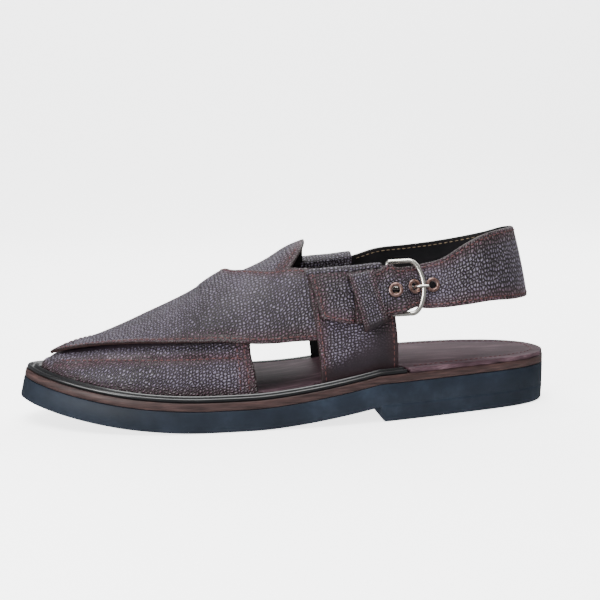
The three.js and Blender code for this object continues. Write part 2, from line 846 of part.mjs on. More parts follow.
// The strap's three rails, bottom, middle and top, from its end in the inner band to the tail's tip.
function strapRails() {
  const rows = [];
  const inPocket = 2 * wall + 2 * fit + strapThickness / 2;
  strapPocket.forEach((at) => {
    const levels = [0.7, 0.84, 0.98];
    rows.push(levels.map((level) => hug(innerSide, at * soleLength, level, inPocket)));
  });
  strapTable.forEach((row, i) => {
    const before = strapTable[Math.max(0, i - 1)];
    const after = strapTable[Math.min(strapTable.length - 1, i + 1)];
    const along = new THREE.Vector2((before.at - after.at) * soleLength, (after.out - before.out) * heelBreadth);
    const out = new THREE.Vector2(-along.y, along.x).normalize();
    const middle = new THREE.Vector3(soleLength / 2 - row.at * soleLength, row.out * heelBreadth, 0);
    rows.push(
      [
        [row.low, 1],
        [(row.low + row.high) / 2, 0.12],
        [row.high, -1],
      ].map(([height, tip]) =>
        new THREE.Vector3(
          middle.x + out.x * tip * row.lean,
          middle.y + out.y * tip * row.lean,
          height * strapTop,
        ),
      ),
    );
  });
  const onTail = 3 * wall + 2 * fit + strapThickness / 2;
  strapTail.forEach((row) => {
    const half = (strapWidth * row.width) / 2 / ankleHeight;
    const centre = hingeLevel - row.drop;
    rows.push(
      [centre - half, centre, centre + half].map((level) => hug(outerSide, row.at * soleLength, level, onTail)),
    );
  });
  return [0, 1, 2].map(
    (rail) => new THREE.CatmullRomCurve3(rows.map((row) => row[rail]), false, 'centripetal'),
  );
}
const rails = strapRails();

// A point on the strap's middle layer: along from 0 to 1, across from the bottom edge (0) to the top (1).
function strapPoint(along, across) {
  const [low, middle, high] = rails.map((rail) => rail.getPoint(along));
  const a = 2 * (across - 0.5) * (across - 1);
  const b = -4 * across * (across - 1);
  const c = 2 * across * (across - 0.5);
  return low.multiplyScalar(a).addScaledVector(middle, b).addScaledVector(high, c);
}

function strapNormal(along, across) {
  const step = 0.004;
  const sideStep = 0.05;
  const from = clamp01(along - step);
  const to = clamp01(along + step);
  const run = strapPoint(to, across).sub(strapPoint(from, across));
  const rise = strapPoint(along, across + sideStep).sub(strapPoint(along, across - sideStep));
  return rise.cross(run).normalize();
}

function onStrap(along, across, off) {
  return strapPoint(along, across).addScaledVector(strapNormal(along, across), off);
}

// The place along the strap, on its buckle side, at a distance s from the heel.
function strapAlongAt(s) {
  let low = 0.6;
  let high = 1;
  for (let i = 0; i < 40; i += 1) {
    const middle = (low + high) / 2;
    if (soleLength / 2 - strapPoint(middle, 0.5).x < s) low = middle;
    else high = middle;
  }
  return low;
}

// The buckle's own axes: its hinge bar's middle, up along the bar, rearward in its plane, and outward.
function buckleAxes() {
  const reach = frameHalfHeight / ankleHeight;
  const hingeOff = 2 * wall - frameWire;
  const low = hug(outerSide, hingeAt, hingeLevel - reach, hingeOff);
  const high = hug(outerSide, hingeAt, hingeLevel + reach, hingeOff);
  const origin = low.clone().add(high).multiplyScalar(0.5);
  const along = strapAlongAt(barAt);
  const leanOfStrap = strapPoint(along, 1).sub(strapPoint(along, 0)).normalize();
  const up = high.clone().sub(low).normalize().add(leanOfStrap).normalize();
  const clear = strapThickness / 2 + 3 * fit + frameWire;
  const bar = onStrap(along, 0.5, clear);
  const back = bar.clone().sub(origin);
  back.addScaledVector(up, -back.dot(up));
  const length = back.length();
  back.normalize();
  const out = up.clone().cross(back).normalize();
  if (out.y > 0) out.negate();
  return { origin, up, back, out, length };
}
const buckle = buckleAxes();

function onBuckle(back, up, out) {
  return buckle.origin
    .clone()
    .addScaledVector(buckle.back, back)
    .addScaledVector(buckle.up, up)
    .addScaledVector(buckle.out, out);
}

// A round bar along a line of points, each ring square to the line.
function bar(points, radius, sides, closed) {
  const count = points.length;
  const rings = points.map((point, i) => {
    const before = points[closed ? (i + count - 1) % count : Math.max(0, i - 1)];
    const after = points[closed ? (i + 1) % count : Math.min(count - 1, i + 1)];
    const run = after.clone().sub(before).normalize();
    const first = buckle.out.clone().addScaledVector(run, -buckle.out.dot(run));
    if (first.length() < 0.2) first.copy(buckle.up).addScaledVector(run, -buckle.up.dot(run));
    first.normalize();
    const second = run.clone().cross(first);
    return Array.from({ length: sides }, (_, k) => {
      const turn = (2 * Math.PI * (k + 0.5)) / sides;
      return point
        .clone()
        .addScaledVector(first, Math.cos(turn) * radius)
        .addScaledVector(second, Math.sin(turn) * radius);
    });
  });
  return skin(rings, closed);
}

// The frame is a rounded D: a straight hinge bar, two arms and a bowed bar.
function frameLine() {
  const h = frameHalfHeight;
  const corner = frameCorner * 0.7;
  const bow = buckle.length;
  const arm = bow - h * 0.53;
  const shape = new THREE.Path();
  shape.moveTo(0, 0);
  shape.lineTo(0, h - corner);
  shape.quadraticCurveTo(0, h, corner, h);
  shape.lineTo(arm, h);
  shape.bezierCurveTo(arm + h * 0.28, h, bow, h * 0.46, bow, 0);
  shape.bezierCurveTo(bow, -h * 0.46, arm + h * 0.35, -h, arm + h * 0.04, -h);
  shape.lineTo(corner, -h);
  shape.quadraticCurveTo(0, -h, 0, corner - h);
  shape.lineTo(0, 0);
  const points = shape.getSpacedPoints(37);
  points.pop();
  return points.map((point) => onBuckle(point.x, point.y, 0));
}

// The prong's middle line, from the hinge bar under the strap, out through the eyelet and over the bowed bar.
// back is the distance behind the hinge bar as a share of the buckle's length, out the distance outward.
const prongTable = [
  { back: 0.06, out: -0.5 },
  { back: 0.18, out: -1.6 },
  { back: 0.44, out: -2.4 },
  { back: 0.59, out: -2.6 },
  { back: 0.67, out: -1.9 },
  { back: 0.722, out: -0.5 },
  { back: 0.775, out: 1 },
  { back: 0.86, out: 2.1 },
  { back: 1, out: 2.5 },
  { back: 1.12, out: 2.2 },
];

function prongLine() {
  const points = prongTable.map((row) => onBuckle(row.back * buckle.length, 0, row.out));
  return new THREE.CatmullRomCurve3(points, false, 'centripetal').getSpacedPoints(20);
}

function hingeTube(radius, from, to) {
  return bar([onBuckle(0, from, 0), onBuckle(0, to, 0)], radius, 12, false);
}

function makeProng() {
  const shank = toSolid(bar(prongLine(), prongWire, 8, false));
  const eye = toSolid(hingeTube(frameWire + fit + prongRing, -prongRing, prongRing));
  const bore = toSolid(hingeTube(frameWire + fit, -2 * prongRing, 2 * prongRing));
  return shank.add(eye).subtract(bore);
}

// The strap's eyelets, from the heel side to the tail's side; the prong stands in the middle one.
const eyeletPlaces = [-1, 0, 1].map((step) => strapAlongAt(eyeletMiddle + step * eyeletPitch));

function eyeletAxes(along) {
  const out = strapNormal(along, 0.5);
  const turn = new THREE.Quaternion().setFromUnitVectors(new THREE.Vector3(0, 1, 0), out);
  return { centre: strapPoint(along, 0.5), out, turn };
}

function ringAt(along, profile) {
  const axes = eyeletAxes(along);
  const points = profile.map(([radius, height]) => new THREE.Vector2(radius, height));
  const geometry = new THREE.LatheGeometry([...points, points[0]], 16);
  geometry.applyQuaternion(axes.turn);
  geometry.translate(axes.centre.x, axes.centre.y, axes.centre.z);
  return toSolid(geometry);
}

function makeEyelet(along) {
  const face = strapThickness / 2 + 1.5 * fit;
  return ringAt(along, [
    [eyeletHole, -fit],
    [eyeletBarrel, -fit],
    [eyeletBarrel, face],
    [eyeletFlange, face],
    [eyeletFlange - fit, face + eyeletRim],
    [eyeletHole + fit, face + eyeletRim],
  ]);
}

function makeStrap() {
  const columns = 52;
  const rows = 4;
  const rings = [];
  for (let i = 0; i <= columns; i += 1) {
    const along = i / columns;
    const face = [];
    const back = [];
    for (let j = 0; j <= rows; j += 1) {
      face.push(onStrap(along, j / rows, strapThickness / 2));
      back.unshift(onStrap(along, j / rows, -strapThickness / 2));
    }
    rings.push([...face, ...back]);
  }
  let solid = toSolid(sheetBody(rings, rows));
  eyeletPlaces.forEach((along) => {
    const axes = eyeletAxes(along);
    const hole = new THREE.CylinderGeometry(eyeletBarrel + fit, eyeletBarrel + fit, 3 * strapThickness, 16);
    const dent = new THREE.CylinderGeometry(eyeletFlange + fit, eyeletFlange + fit, strapThickness, 16);
    dent.translate(0, strapThickness + fit / 2, 0);
    [hole, dent].forEach((shape) => {
      shape.applyQuaternion(axes.turn);
      shape.translate(axes.centre.x, axes.centre.y, axes.centre.z);
      solid = solid.subtract(toSolid(shape));
    });
  });
  return pressed(solid.subtract(toSolid(bar(prongLine(), prongWire + fit, 8, false))));
}

// The keeper: a loop over the strap's tail, folded in round its edges. Its ends slant, so at is given at the
// low and at the high edge, and the levels of both edges climb from its front end to its rear end.
const keeperEnds = [
  { lowAt: 0.349, highAt: 0.372, low: 0.652, high: 0.984 },
  { lowAt: 0.389, highAt: 0.413, low: 0.592, high: 0.958 },
];

function makeKeeper() {
  const face = 3 * wall + 4 * fit + strapThickness;
  const outer = face + keeperWall;
  const turn = keeperWall / ankleHeight;
  const [rear, front] = keeperEnds;
  const section = [
    { up: 0, step: 0, off: outer },
    { up: 0.33, step: 0, off: outer },
    { up: 0.67, step: 0, off: outer },
    { up: 1, step: 0, off: outer },
    { up: 1, step: 0, off: 3 * wall + fit },
    { up: 1, step: -turn, off: 3 * wall + fit },
    { up: 1, step: -turn, off: face },
    { up: 0.67, step: 0, off: face },
    { up: 0.33, step: 0, off: face },
    { up: 0, step: turn, off: face },
    { up: 0, step: turn, off: 3 * wall + fit },
    { up: 0, step: 0, off: 3 * wall + fit },
  ];
  const steps = 6;
  const rings = [];
  for (let i = 0; i <= steps; i += 1) {
    const here = (key) => mix(rear[key], front[key], i / steps);
    rings.push(
      section.map(({ up, step, off }) => {
        const at = mix(here('lowAt'), here('highAt'), up);
        return hug(outerSide, at * soleLength, mix(here('low'), here('high'), up) + step, off);
      }),
    );
  }
  return skin(rings);
}

const meshes = [];
const sole = { color: 0x1d242b, roughness: 0.6, metalness: 0 };
meshes.push(piece('outsole', makeOutsole(), sole));
meshes.push(piece('heel_block', makeHeelBlock(), sole));
meshes.push(piece('midsole', makeMidsole(), { color: 0x5a3d38, roughness: 0.6, metalness: 0 }));
meshes.push(piece('welt', makeWelt(), { color: 0x16181b, roughness: 0.4, metalness: 0 }));
meshes.push(piece('insole', makeInsole(), { color: 0x5e4540, roughness: 0.6, metalness: 0 }));

const upperPieces = [
  makeTopStrip(),
  makeUnderStrip(),
  makeQuarter(outerSide),
  makeQuarter(innerSide),
  makeOuterBand(),
  makeInnerBand(),
  hingeTube(frameWire + wall, frameCorner - frameHalfHeight, frameHalfHeight - frameCorner),
];
const prong = makeProng();
const upperSolid = pressed(upperPieces.map(toSolid).reduce((all, next) => all.add(next)))
  .subtract(toSolid(bar(frameLine(), frameWire + fit, 8, true)))
  .subtract(toSolid(hingeTube(frameWire + 2 * fit + prongRing, -prongRing - fit, prongRing + fit)))
  .subtract(toSolid(bar(prongLine(), prongWire + fit, 8, false)));
meshes.push(piece('upper', toGeometry(pressed(upperSolid)), leatherBrown));
meshes.push(piece('heel_strap', toGeometry(makeStrap()), leatherBrown));
meshes.push(piece('keeper', makeKeeper(), leatherBrown));

const nickel = { color: 0xb9b7b0, roughness: 0.25, metalness: 1 };
const copper = { color: 0x9a5b48, roughness: 0.35, metalness: 1 };
meshes.push(piece('buckle_frame', bar(frameLine(), frameWire, 8, true), nickel));
meshes.push(piece('buckle_prong', toGeometry(prong), nickel));
eyeletPlaces.forEach((along, i) => {
  meshes.push(piece(`eyelet_${i + 1}`, toGeometry(makeEyelet(along)), copper));
});

const shoe = new THREE.Group();
shoe.add(...meshes);

// The origin is the middle of the shoe's box, on the floor.
const box = new THREE.Box3().setFromObject(shoe);
shoe.position.set(-(box.min.x + box.max.x) / 2, -(box.min.y + box.max.y) / 2, -box.min.z);

const part = new THREE.Group();
part.add(shoe);

export default part;
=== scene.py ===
import math
import bpy
import numpy as np
from mathutils import Matrix, Vector


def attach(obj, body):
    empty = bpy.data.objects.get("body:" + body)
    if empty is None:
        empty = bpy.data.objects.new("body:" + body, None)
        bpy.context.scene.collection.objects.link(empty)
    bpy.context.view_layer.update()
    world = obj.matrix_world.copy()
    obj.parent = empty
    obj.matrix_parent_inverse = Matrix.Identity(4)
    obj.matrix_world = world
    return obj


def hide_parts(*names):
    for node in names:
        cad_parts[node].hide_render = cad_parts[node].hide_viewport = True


# A left peshawari chappal in pebbled burgundy leather. Sizes here are millimetres, meshes are metres.
# +X runs to the heel, +Y to the inner (big toe) side, +Z up.
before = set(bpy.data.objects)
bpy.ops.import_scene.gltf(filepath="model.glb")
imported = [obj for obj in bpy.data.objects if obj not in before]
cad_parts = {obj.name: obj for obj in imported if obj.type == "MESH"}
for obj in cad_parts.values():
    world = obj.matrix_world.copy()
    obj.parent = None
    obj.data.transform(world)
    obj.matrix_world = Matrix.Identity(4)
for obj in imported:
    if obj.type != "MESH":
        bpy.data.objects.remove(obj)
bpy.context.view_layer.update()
mm = 0.001
outerSide, innerSide = -1, 1
sides = (outerSide, innerSide)
sideNames = {outerSide: "outer", innerSide: "inner"}

shoe = {
    "length": 300.0, "ball": 97.0, "outsole": 11.6, "wedge": 2.1, "midsole": 4.2, "insole": 2.3,
    "heel": 8.3, "heelLength": 107.0, "toeSpring": 13.4, "restStart": 0.58, "restEnd": 0.66,
    "instep": 74.0, "feather": 7.5, "wall": 1.8, "fit": 0.3, "ankle": 84.0, "toeTip": -0.018,
    "shift": (-0.138, 1.239),
}
wall, fit, length = shoe["wall"], shoe["fit"], shoe["length"]

# Camera at the photo's angle.
cameraSettings = {"yaw": -7.87, "height": 8.39, "roll": 0.62, "distance": 504.34, "across": 5.92, "up": 35.73,
                  "aimHeight": 25, "lens": 52.74, "sensor": 36, "clip": 0.01}


def makeCamera():
    yaw, tall, roll = (math.radians(cameraSettings[key]) for key in ("yaw", "height", "roll"))
    back = Vector((math.sin(yaw) * math.cos(tall), -math.cos(yaw) * math.cos(tall), math.sin(tall)))
    right = Vector((math.cos(yaw), math.sin(yaw), 0))
    up = back.cross(right)
    place = Vector((*shoe["shift"], cameraSettings["aimHeight"]))
    for way, key in ((back, "distance"), (right, "across"), (up, "up")):
        place += way * cameraSettings[key]
    data = bpy.data.cameras.new("camera")
    data.lens, data.sensor_width = cameraSettings["lens"], cameraSettings["sensor"]
    data.clip_start = cameraSettings["clip"]
    camera = bpy.data.objects.new("camera", data)
    turned = Matrix((right * math.cos(roll) - up * math.sin(roll),
                     right * math.sin(roll) + up * math.cos(roll), back))
    camera.matrix_world = Matrix.Translation(place * mm) @ turned.transposed().to_4x4()
    bpy.context.collection.objects.link(camera)
    bpy.context.scene.camera = camera


# Soft studio light, in metres and watts.
lightSettings = [
    {"name": "overhead", "place": (-0.1, -0.25, 1.3), "aim": (0, 0, 0.03), "size": 1.0, "power": 31},
    {"name": "front", "place": (-1.65, -0.95, 0.55), "aim": (-0.04, 0, 0.04), "size": 0.8, "power": 19.5},
    {"name": "toe", "place": (-0.42, -0.4, 0.16), "aim": (-0.09, -0.02, 0.03), "size": 0.2, "power": 1.9},
    {"name": "rim", "place": (1.0, 0.9, 0.9), "aim": (0, 0, 0.05), "size": 0.8, "power": 6},
    {"name": "behind", "place": (0.15, 0.95, 0.75), "aim": (0, 0, 0.08), "size": 0.5, "power": 3},
]
worldSettings = {"Color": (0.95, 0.97, 1.0, 1), "Strength": 0.35}


def makeLights():
    for row in lightSettings:
        data = bpy.data.lights.new(row["name"], "AREA")
        data.size, data.energy = row["size"], row["power"]
        lamp = bpy.data.objects.new(row["name"], data)
        lamp.location = row["place"]
        lamp.rotation_euler = (Vector(row["aim"]) - lamp.location).to_track_quat("-Z", "Y").to_euler()
        lamp.visible_camera = False
        bpy.context.collection.objects.link(lamp)
    world = bpy.data.worlds.new("studio")
    world.use_nodes = True
    for key, value in worldSettings.items():
        world.node_tree.nodes["Background"].inputs[key].default_value = value
    bpy.context.scene.world = world


makeCamera()
makeLights()
print("camera and lights are set")

# The shoe's own forms: outline of the sole, and the last that the upper is shaped over.
outlineTable = {
    "at": [0.01, 0.03, 0.07, 0.13, 0.2, 0.27, 0.36, 0.46, 0.56, 0.65, 0.73, 0.81, 0.88, 0.94, 0.98],
    "outer": [0.11, 0.182, 0.25, 0.308, 0.36, 0.41, 0.464, 0.495, 0.508, 0.513, 0.501, 0.456, 0.371, 0.258,
              0.142],
    "inner": [0.122, 0.196, 0.268, 0.318, 0.334, 0.32, 0.294, 0.314, 0.386, 0.46, 0.489, 0.449, 0.351, 0.232,
              0.116], }
lastTable = {
    "at": [0.2, 0.36, 0.42, 0.47, 0.497, 0.543, 0.583, 0.639, 0.67, 0.728, 0.78, 0.829, 0.875, 0.921, 0.946,
           0.96],
    "rise": [1.02, 1.03, 1.02, 1, 0.975, 0.884, 0.82, 0.735, 0.67, 0.563, 0.463, 0.36, 0.265, 0.18, 0.125,
             0.075],
    "ridge": [0.01, 0.01, 0.015, 0.02, 0.022, 0.026, 0.03, 0.038, 0.04, 0.04, 0.035, 0.025, 0.01, -0.01,
              -0.015, -0.018],
    "round": [3, 3, 2.9, 2.7, 2.55, 2.45, 2.4, 2.3, 2.3, 2.2, 2.2, 2.1, 2.1, 2.1, 2, 2],
}


def smooth(low, high, value):
    t = np.clip((np.asarray(value, float) - low) / (high - low), 0, 1)
    return t * t * (3 - 2 * t)


def mix(a, b, t):
    return a + (b - a) * t


def bell(value, middle, width):
    return np.exp(-(((value - middle) / width) ** 2))


def unit(rows):
    return rows / np.linalg.norm(rows, axis=-1)[..., None]


# Distance run along a row of points.
def runAlong(points):
    return np.concatenate([[0], np.cumsum(np.linalg.norm(np.diff(points, axis=0), axis=1))])


# A centripetal curve through points, sampled evenly in its own parameter.
def curveThrough(points, closed, count):
    p = np.asarray(points, float)
    n = len(p)
    spans = n if closed else n - 1
    t = np.arange(count + 1) / count * spans
    i = np.minimum(t.astype(int), spans - 1)
    w = (t - i)[:, None]
    if closed:
        a, b, c, d = (p[(i + k) % n] for k in (-1, 0, 1, 2))
    else:
        padded = np.vstack([2 * p[0] - p[1], p, 2 * p[-1] - p[-2]])
        a, b, c, d = (padded[i + k] for k in (0, 1, 2, 3))
    gap = [np.maximum(((y - x) ** 2).sum(1) ** 0.25, 1e-4)[:, None] for x, y in ((a, b), (b, c), (c, d))]
    first = ((b - a) / gap[0] - (c - a) / (gap[0] + gap[1]) + (c - b) / gap[1]) * gap[1]
    second = ((c - b) / gap[1] - (d - b) / (gap[1] + gap[2]) + (d - c) / gap[2]) * gap[1]
    cubic = 2 * b - 2 * c + first + second
    return b + first * w + (-3 * b + 3 * c - 2 * first - second) * w**2 + cubic * w**3


def outlineSide(side, count=6000):
    at = np.array(outlineTable["at"]) * length
    own = np.array(outlineTable[sideNames[side]]) * shoe["ball"] * side
    other = np.array(outlineTable[sideNames[-side]]) * shoe["ball"] * -side
    loop = [(0, 0), *zip(at, own), (length, shoe["toeTip"] * shoe["ball"]), *zip(at[::-1], other[::-1])]
    points = curveThrough(loop, True, count)
    run = np.gradient(points, axis=0)
    out = unit(np.stack([run[:, 1], -run[:, 0]], 1) * -side)
    turned = np.nonzero((np.diff(points[:, 0]) < 0) & (np.arange(count) > count // 4))[0][0]
    return points[: turned + 1], out[: turned + 1]


outlines = {side: outlineSide(side) for side in sides}


def rim(side, s, inset):
    points, out = outlines[side]
    s = np.clip(s, 0, length)
    at = np.maximum.accumulate(points[:, 0]) + np.arange(len(points)) * 1e-9
    outS, outY = np.interp(s, at, out[:, 0]), np.interp(s, at, out[:, 1])
    size = np.hypot(outS, outY)
    return s - outS / size * inset, np.interp(s, at, points[:, 1]) - outY / size * inset


# A loop round the sole, up the outer side and back down the inner one.
def loopRound(s, inset, place):
    walks = [place(*rim(side, s, inset(s, side) if callable(inset) else inset)) for side in sides]
    return np.vstack([walks[0], walks[1][::-1]])


def underside(s):
    start, end = shoe["restStart"], shoe["restEnd"]
    arch = np.clip((start * length - s) / (start * length - shoe["heelLength"]), 0, 1)
    toe = np.clip((np.asarray(s, float) / length - end) / (1 - end), 0, None)
    return shoe["heel"] * arch**1.5 + shoe["toeSpring"] * toe**1.8


def springSlope(s):
    end = shoe["restEnd"]
    share = np.clip((np.asarray(s, float) / length - end) / (1 - end), 0, 1)
    return np.arctan(shoe["toeSpring"] * 1.8 / ((1 - end) * length) * share**0.8)


def onSole(s, y, height):
    tilt = springSlope(s)
    return np.stack([length / 2 - s + height * np.sin(tilt), y + 0 * tilt,
                     underside(s) + height * np.cos(tilt)], -1)


def onFloor(s, y, height):
    return np.stack([length / 2 - s, y, height + 0 * s], -1)


def outsoleAt(s):
    return shoe["outsole"] + shoe["wedge"] * np.clip(1 - np.asarray(s, float) / (0.6 * length), 0, 1)


def bedAt(s):
    return outsoleAt(s) + 2 * fit + shoe["midsole"]


# Smooth monotone reading of a table, as a draughtsman's spline would give it.
def reader(table, column):
    xs, ys = np.array(table["at"], float), np.array(table[column], float)
    steps = np.diff(ys) / np.diff(xs)
    before, after = steps[:-1], steps[1:]
    total = np.where(before + after == 0, 1, before + after)
    slopes = np.concatenate([steps[:1], np.where(before * after <= 0, 0, 2 * before * after / total),
                             steps[-1:]])

    def read(x):
        x = np.clip(x, xs[0], xs[-1])
        i = np.clip(np.searchsorted(xs, x, side="right") - 1, 0, len(xs) - 2)
        width = xs[i + 1] - xs[i]
        t = (x - xs[i]) / width
        return (((2 * t - 3) * t * t + 1) * ys[i] + ((t - 2) * t + 1) * t * width * slopes[i]
                + (3 - 2 * t) * t * t * ys[i + 1] + (t - 1) * t * t * width * slopes[i + 1])

    return read


riseAt, ridgeAt, roundAt = (reader(lastTable, key) for key in ("rise", "ridge", "round"))
lastToe = length - shoe["feather"] - wall


def footAt(side, s):
    points, out = outlines[side]
    moved = points - out * (shoe["feather"] + wall)
    keep = np.concatenate([[True], np.diff(np.maximum.accumulate(moved[:, 0])) > 1e-6])
    return np.interp(s, moved[keep, 0], moved[keep, 1])


def lastRise(s):
    start = lastTable["at"][-1] * length
    t = np.clip((s - start) / (lastToe - start), 0, 1)
    return shoe["instep"] * riseAt(s / length) * np.sqrt(np.maximum(0, 1 - t * t))


# A place on the last: s from the heel, around from the outer foot line (0) over the ridge to the inner (1).
def lastPoint(s, around):
    angle = np.pi * np.where(around < 0.5, around, 1 - around)
    power = roundAt(s / length)
    c, d = np.maximum(0, np.cos(angle)), np.sin(angle)
    reach = (c**power + d**power) ** (-1 / power)
    ridge = ridgeAt(s / length) * shoe["ball"]
    foot = np.where(around < 0.5, footAt(outerSide, s), footAt(innerSide, s))
    return onSole(s, mix(ridge, foot, c * reach), bedAt(s) + lastRise(s) * d * reach)


def lastNormal(s, around):
    inside = np.minimum(s, lastToe - 1.2)
    along = lastPoint(inside + 0.4, around) - lastPoint(inside - 0.4, around)
    over = lastPoint(inside, np.minimum(1, around + 0.01)) - lastPoint(inside, np.maximum(0, around - 0.01))
    normal = unit(np.cross(over, along))
    tilt = springSlope(s)
    up = np.stack([np.sin(tilt), 0 * tilt, np.cos(tilt)], -1)
    flat = unit(normal - up * (normal * up).sum(-1)[..., None])
    low = np.clip(1 - np.minimum(around, 1 - around) / 0.03, 0, 1)[..., None]
    return unit(mix(normal, flat, low))


def onLast(s, around, off):
    return lastPoint(s, around) + lastNormal(s, around) * np.asarray(off)[..., None]


# Millimetres round the last for each unit of around.
def sizeAround(s, around, highest=1):
    ends = [lastPoint(s, np.clip(around + step, 0, highest)) for step in (-0.01, 0.01)]
    return np.linalg.norm(ends[1] - ends[0], axis=-1) / 0.02


# The last's skin laid flat: millimetres along the foot, and round it from the ridge (minus outwards).
skinSteps = 240


def skinTable():
    s, around = np.linspace(0, lastToe - 0.2, 260), np.linspace(0, 1, skinSteps + 1)
    grid = lastPoint(*np.meshgrid(s, around, indexing="ij"))
    steps = np.linalg.norm(np.diff(grid, axis=1), axis=2)
    run = np.concatenate([np.zeros((len(s), 1)), np.cumsum(steps, 1)], 1)
    return s, run - run[:, skinSteps // 2][:, None]


skinS, skinRun = skinTable()


def flatOnLast(s, around):
    i = np.clip(s / skinS[1], 0, len(skinS) - 1.001)
    j = np.clip(around * skinSteps, 0, skinSteps - 0.001)
    a, b = i.astype(int), j.astype(int)
    low, high = (mix(skinRun[row, b], skinRun[row, b + 1], j - b) for row in (a, a + 1))
    return s, mix(low, high, i - a)


def aroundAt(s, side, share):
    power = roundAt(s / length)
    up = np.clip(share, 0, 1)
    turn = np.arctan2(up, np.maximum(0, 1 - up**power) ** (1 / power)) / np.pi
    return np.where(side < 0, turn, 1 - turn)


def upAtLevel(s, level):
    return np.clip((level * shoe["ankle"] - underside(s) - bedAt(s)) / lastRise(s), 0, 1)


def hug(side, s, level, off):
    s = np.asarray(s, float)
    return onLast(s, aroundAt(s, side, upAtLevel(s, level)), np.asarray(off) + 0 * s)


# Edges and patches of leather on the last, each spot given as (s, around).
def edgeCurve(spots):
    points = [(s, aroundAt(s, side, up) * length) for s, side, up in spots]
    dense = curveThrough(points, False, 1200)
    run = runAlong(dense)
    run /= run[-1]
    return lambda t: (np.interp(t, run, dense[:, 0]), np.clip(np.interp(t, run, dense[:, 1]) / length, 0, 1))


def straight(a, b):
    return lambda t: (mix(a[0], b[0], t), mix(a[1], b[1], t))


def shareEdge(rows):
    return edgeCurve([(at * length, side, up) for at, side, up in rows])


def levelEdge(side, rows):
    return edgeCurve([(at * length, side, float(upAtLevel(at * length, level))) for at, level in rows])


def patch(low, high, left, right):
    def read(u, v):
        spot = []
        for k in (0, 1):
            across = mix(low(u)[k], high(u)[k], v)
            along = mix(left(v)[k], right(v)[k], u)
            corners = mix(mix(low(0.0)[k], low(1.0)[k], u), mix(high(0.0)[k], high(1.0)[k], u), v)
            spot.append(across + along - corners)
        return spot[0], np.clip(spot[1], 0, 1)

    return read


# Edges of the pieces: share of the length, side (-1 outer, 1 inner), and share of the last's rise.
stripFoot = {"outer": 0.574, "inner": 0.593, "turn": 0.73}
throatTop = [(0.593, 1, 0), (0.597, 1, 0.25), (0.603, 1, 0.55), (0.61, 1, 0.85), (0.613, 1, 1),
             (0.6, -1, 0.99), (0.57, -1, 0.965), (0.53, -1, 0.91), (0.482, -1, 0.84), (0.44, -1, 0.8)]
frontTop = [(0.79, 1, 0), (0.81, 1, 0.35), (0.85, 1, 0.75), (0.9, 1, 0.95), (0.952, -1, 0.97),
            (0.92, -1, 0.88), (0.87, -1, 0.82), (0.775, -1, 0.68), (0.68, -1, 0.565), (0.6, -1, 0.47),
            (0.53, -1, 0.395), (0.47, -1, 0.34), (0.43, -1, 0.32)]
throatUnder = [(0.574, -1, 0), (0.579, -1, 0.2), (0.586, -1, 0.45), (0.57, -1, 0.66), (0.53, -1, 0.8),
               (0.502, -1, 0.9), (0.482, -1, 0.97), (0.47, 1, 1), (0.47, 1, 0.93), (0.47, 1, 0.84),
               (0.43, 1, 0.8)]
lowerUnder = [(0.73, 1, 0), (0.7, 1, 0.25), (0.66, 1, 0.4), (0.6, 1, 0.42), (0.53, 1, 0.355), (0.47, 1, 0.32),
              (0.42, 1, 0.31)]
# Edges beside the ankle: share of the length, and share of the ankle's height.
quarterEdges = {
    outerSide: {"front": [(0.46, 0), (0.468, 0.5), (0.476, 0.75), (0.48, 0.925)],
                "back": [(0.318, 0), (0.32, 0.45), (0.326, 0.65), (0.338, 0.965)]},
    innerSide: {"front": [(0.449, 0), (0.456, 0.5), (0.464, 0.75), (0.472, 0.94)],
                "back": [(0.323, 0), (0.328, 0.4), (0.345, 0.7), (0.37, 0.98)]},
}
bandEdges = {
    outerSide: {"low": [(0.461, 0.665), (0.4, 0.63), (0.343, 0.65)],
                "high": [(0.48, 0.93), (0.41, 0.958), (0.341, 0.97)]},
    innerSide: {"low": [(0.459, 0.66), (0.41, 0.665), (0.37, 0.67)],
                "high": [(0.472, 0.945), (0.42, 0.965), (0.37, 0.985)]},
}


def topRegion(tipShare=0.3):
    throat, toTip, fromTip = shareEdge(throatTop), shareEdge(frontTop[:5]), shareEdge(frontTop[4:])

    def front(t):
        t = np.asarray(t, float)
        a, b = toTip(np.clip(t / tipShare, 0, 1)), fromTip(np.clip((t - tipShare) / (1 - tipShare), 0, 1))
        return tuple(np.where(t < tipShare, a[k], b[k]) for k in (0, 1))

    return patch(throat, front, straight(throat(0.0), front(0.0)), straight(throat(1.0), front(1.0)))


def underRegion():
    throat, lower = shareEdge(throatUnder), shareEdge(lowerUnder)
    toe, foot, turn = lastToe - 0.3, stripFoot["outer"] * length, stripFoot["turn"] * length
    endEdge = straight(throat(1.0), lower(1.0))

    def innerEdge(t):
        t = np.asarray(t, float)
        a = endEdge(np.clip(t / 0.1, 0, 1))
        b = lower(1 - np.clip((t - 0.1) / 0.5, 0, 1))
        c = (mix(turn, toe, np.clip((t - 0.6) / 0.4, 0, 1)), 1.0)
        return tuple(np.where(t < 0.1, a[k], np.where(t < 0.6, b[k], c[k])) for k in (0, 1))

    region = patch(throat, lambda t: (toe + 0 * np.asarray(t, float), np.asarray(t, float)),
                   lambda t: (mix(foot, toe, t), 0 * np.asarray(t, float)), innerEdge)
    return lambda u, v: region(v, np.sin(np.asarray(u) * np.pi / 2) ** 0.9)


def sideRegion(side, edges, first, second):
    a, b = levelEdge(side, edges[first]), levelEdge(side, edges[second])
    return patch(a, b, straight(a(0.0), b(0.0)), straight(a(1.0), b(1.0)))


topSpots, underSpots = topRegion(), underRegion()
quarterSpots = {side: sideRegion(side, quarterEdges[side], "front", "back") for side in sides}
bandSpots = {side: sideRegion(side, bandEdges[side], "low", "high") for side in sides}


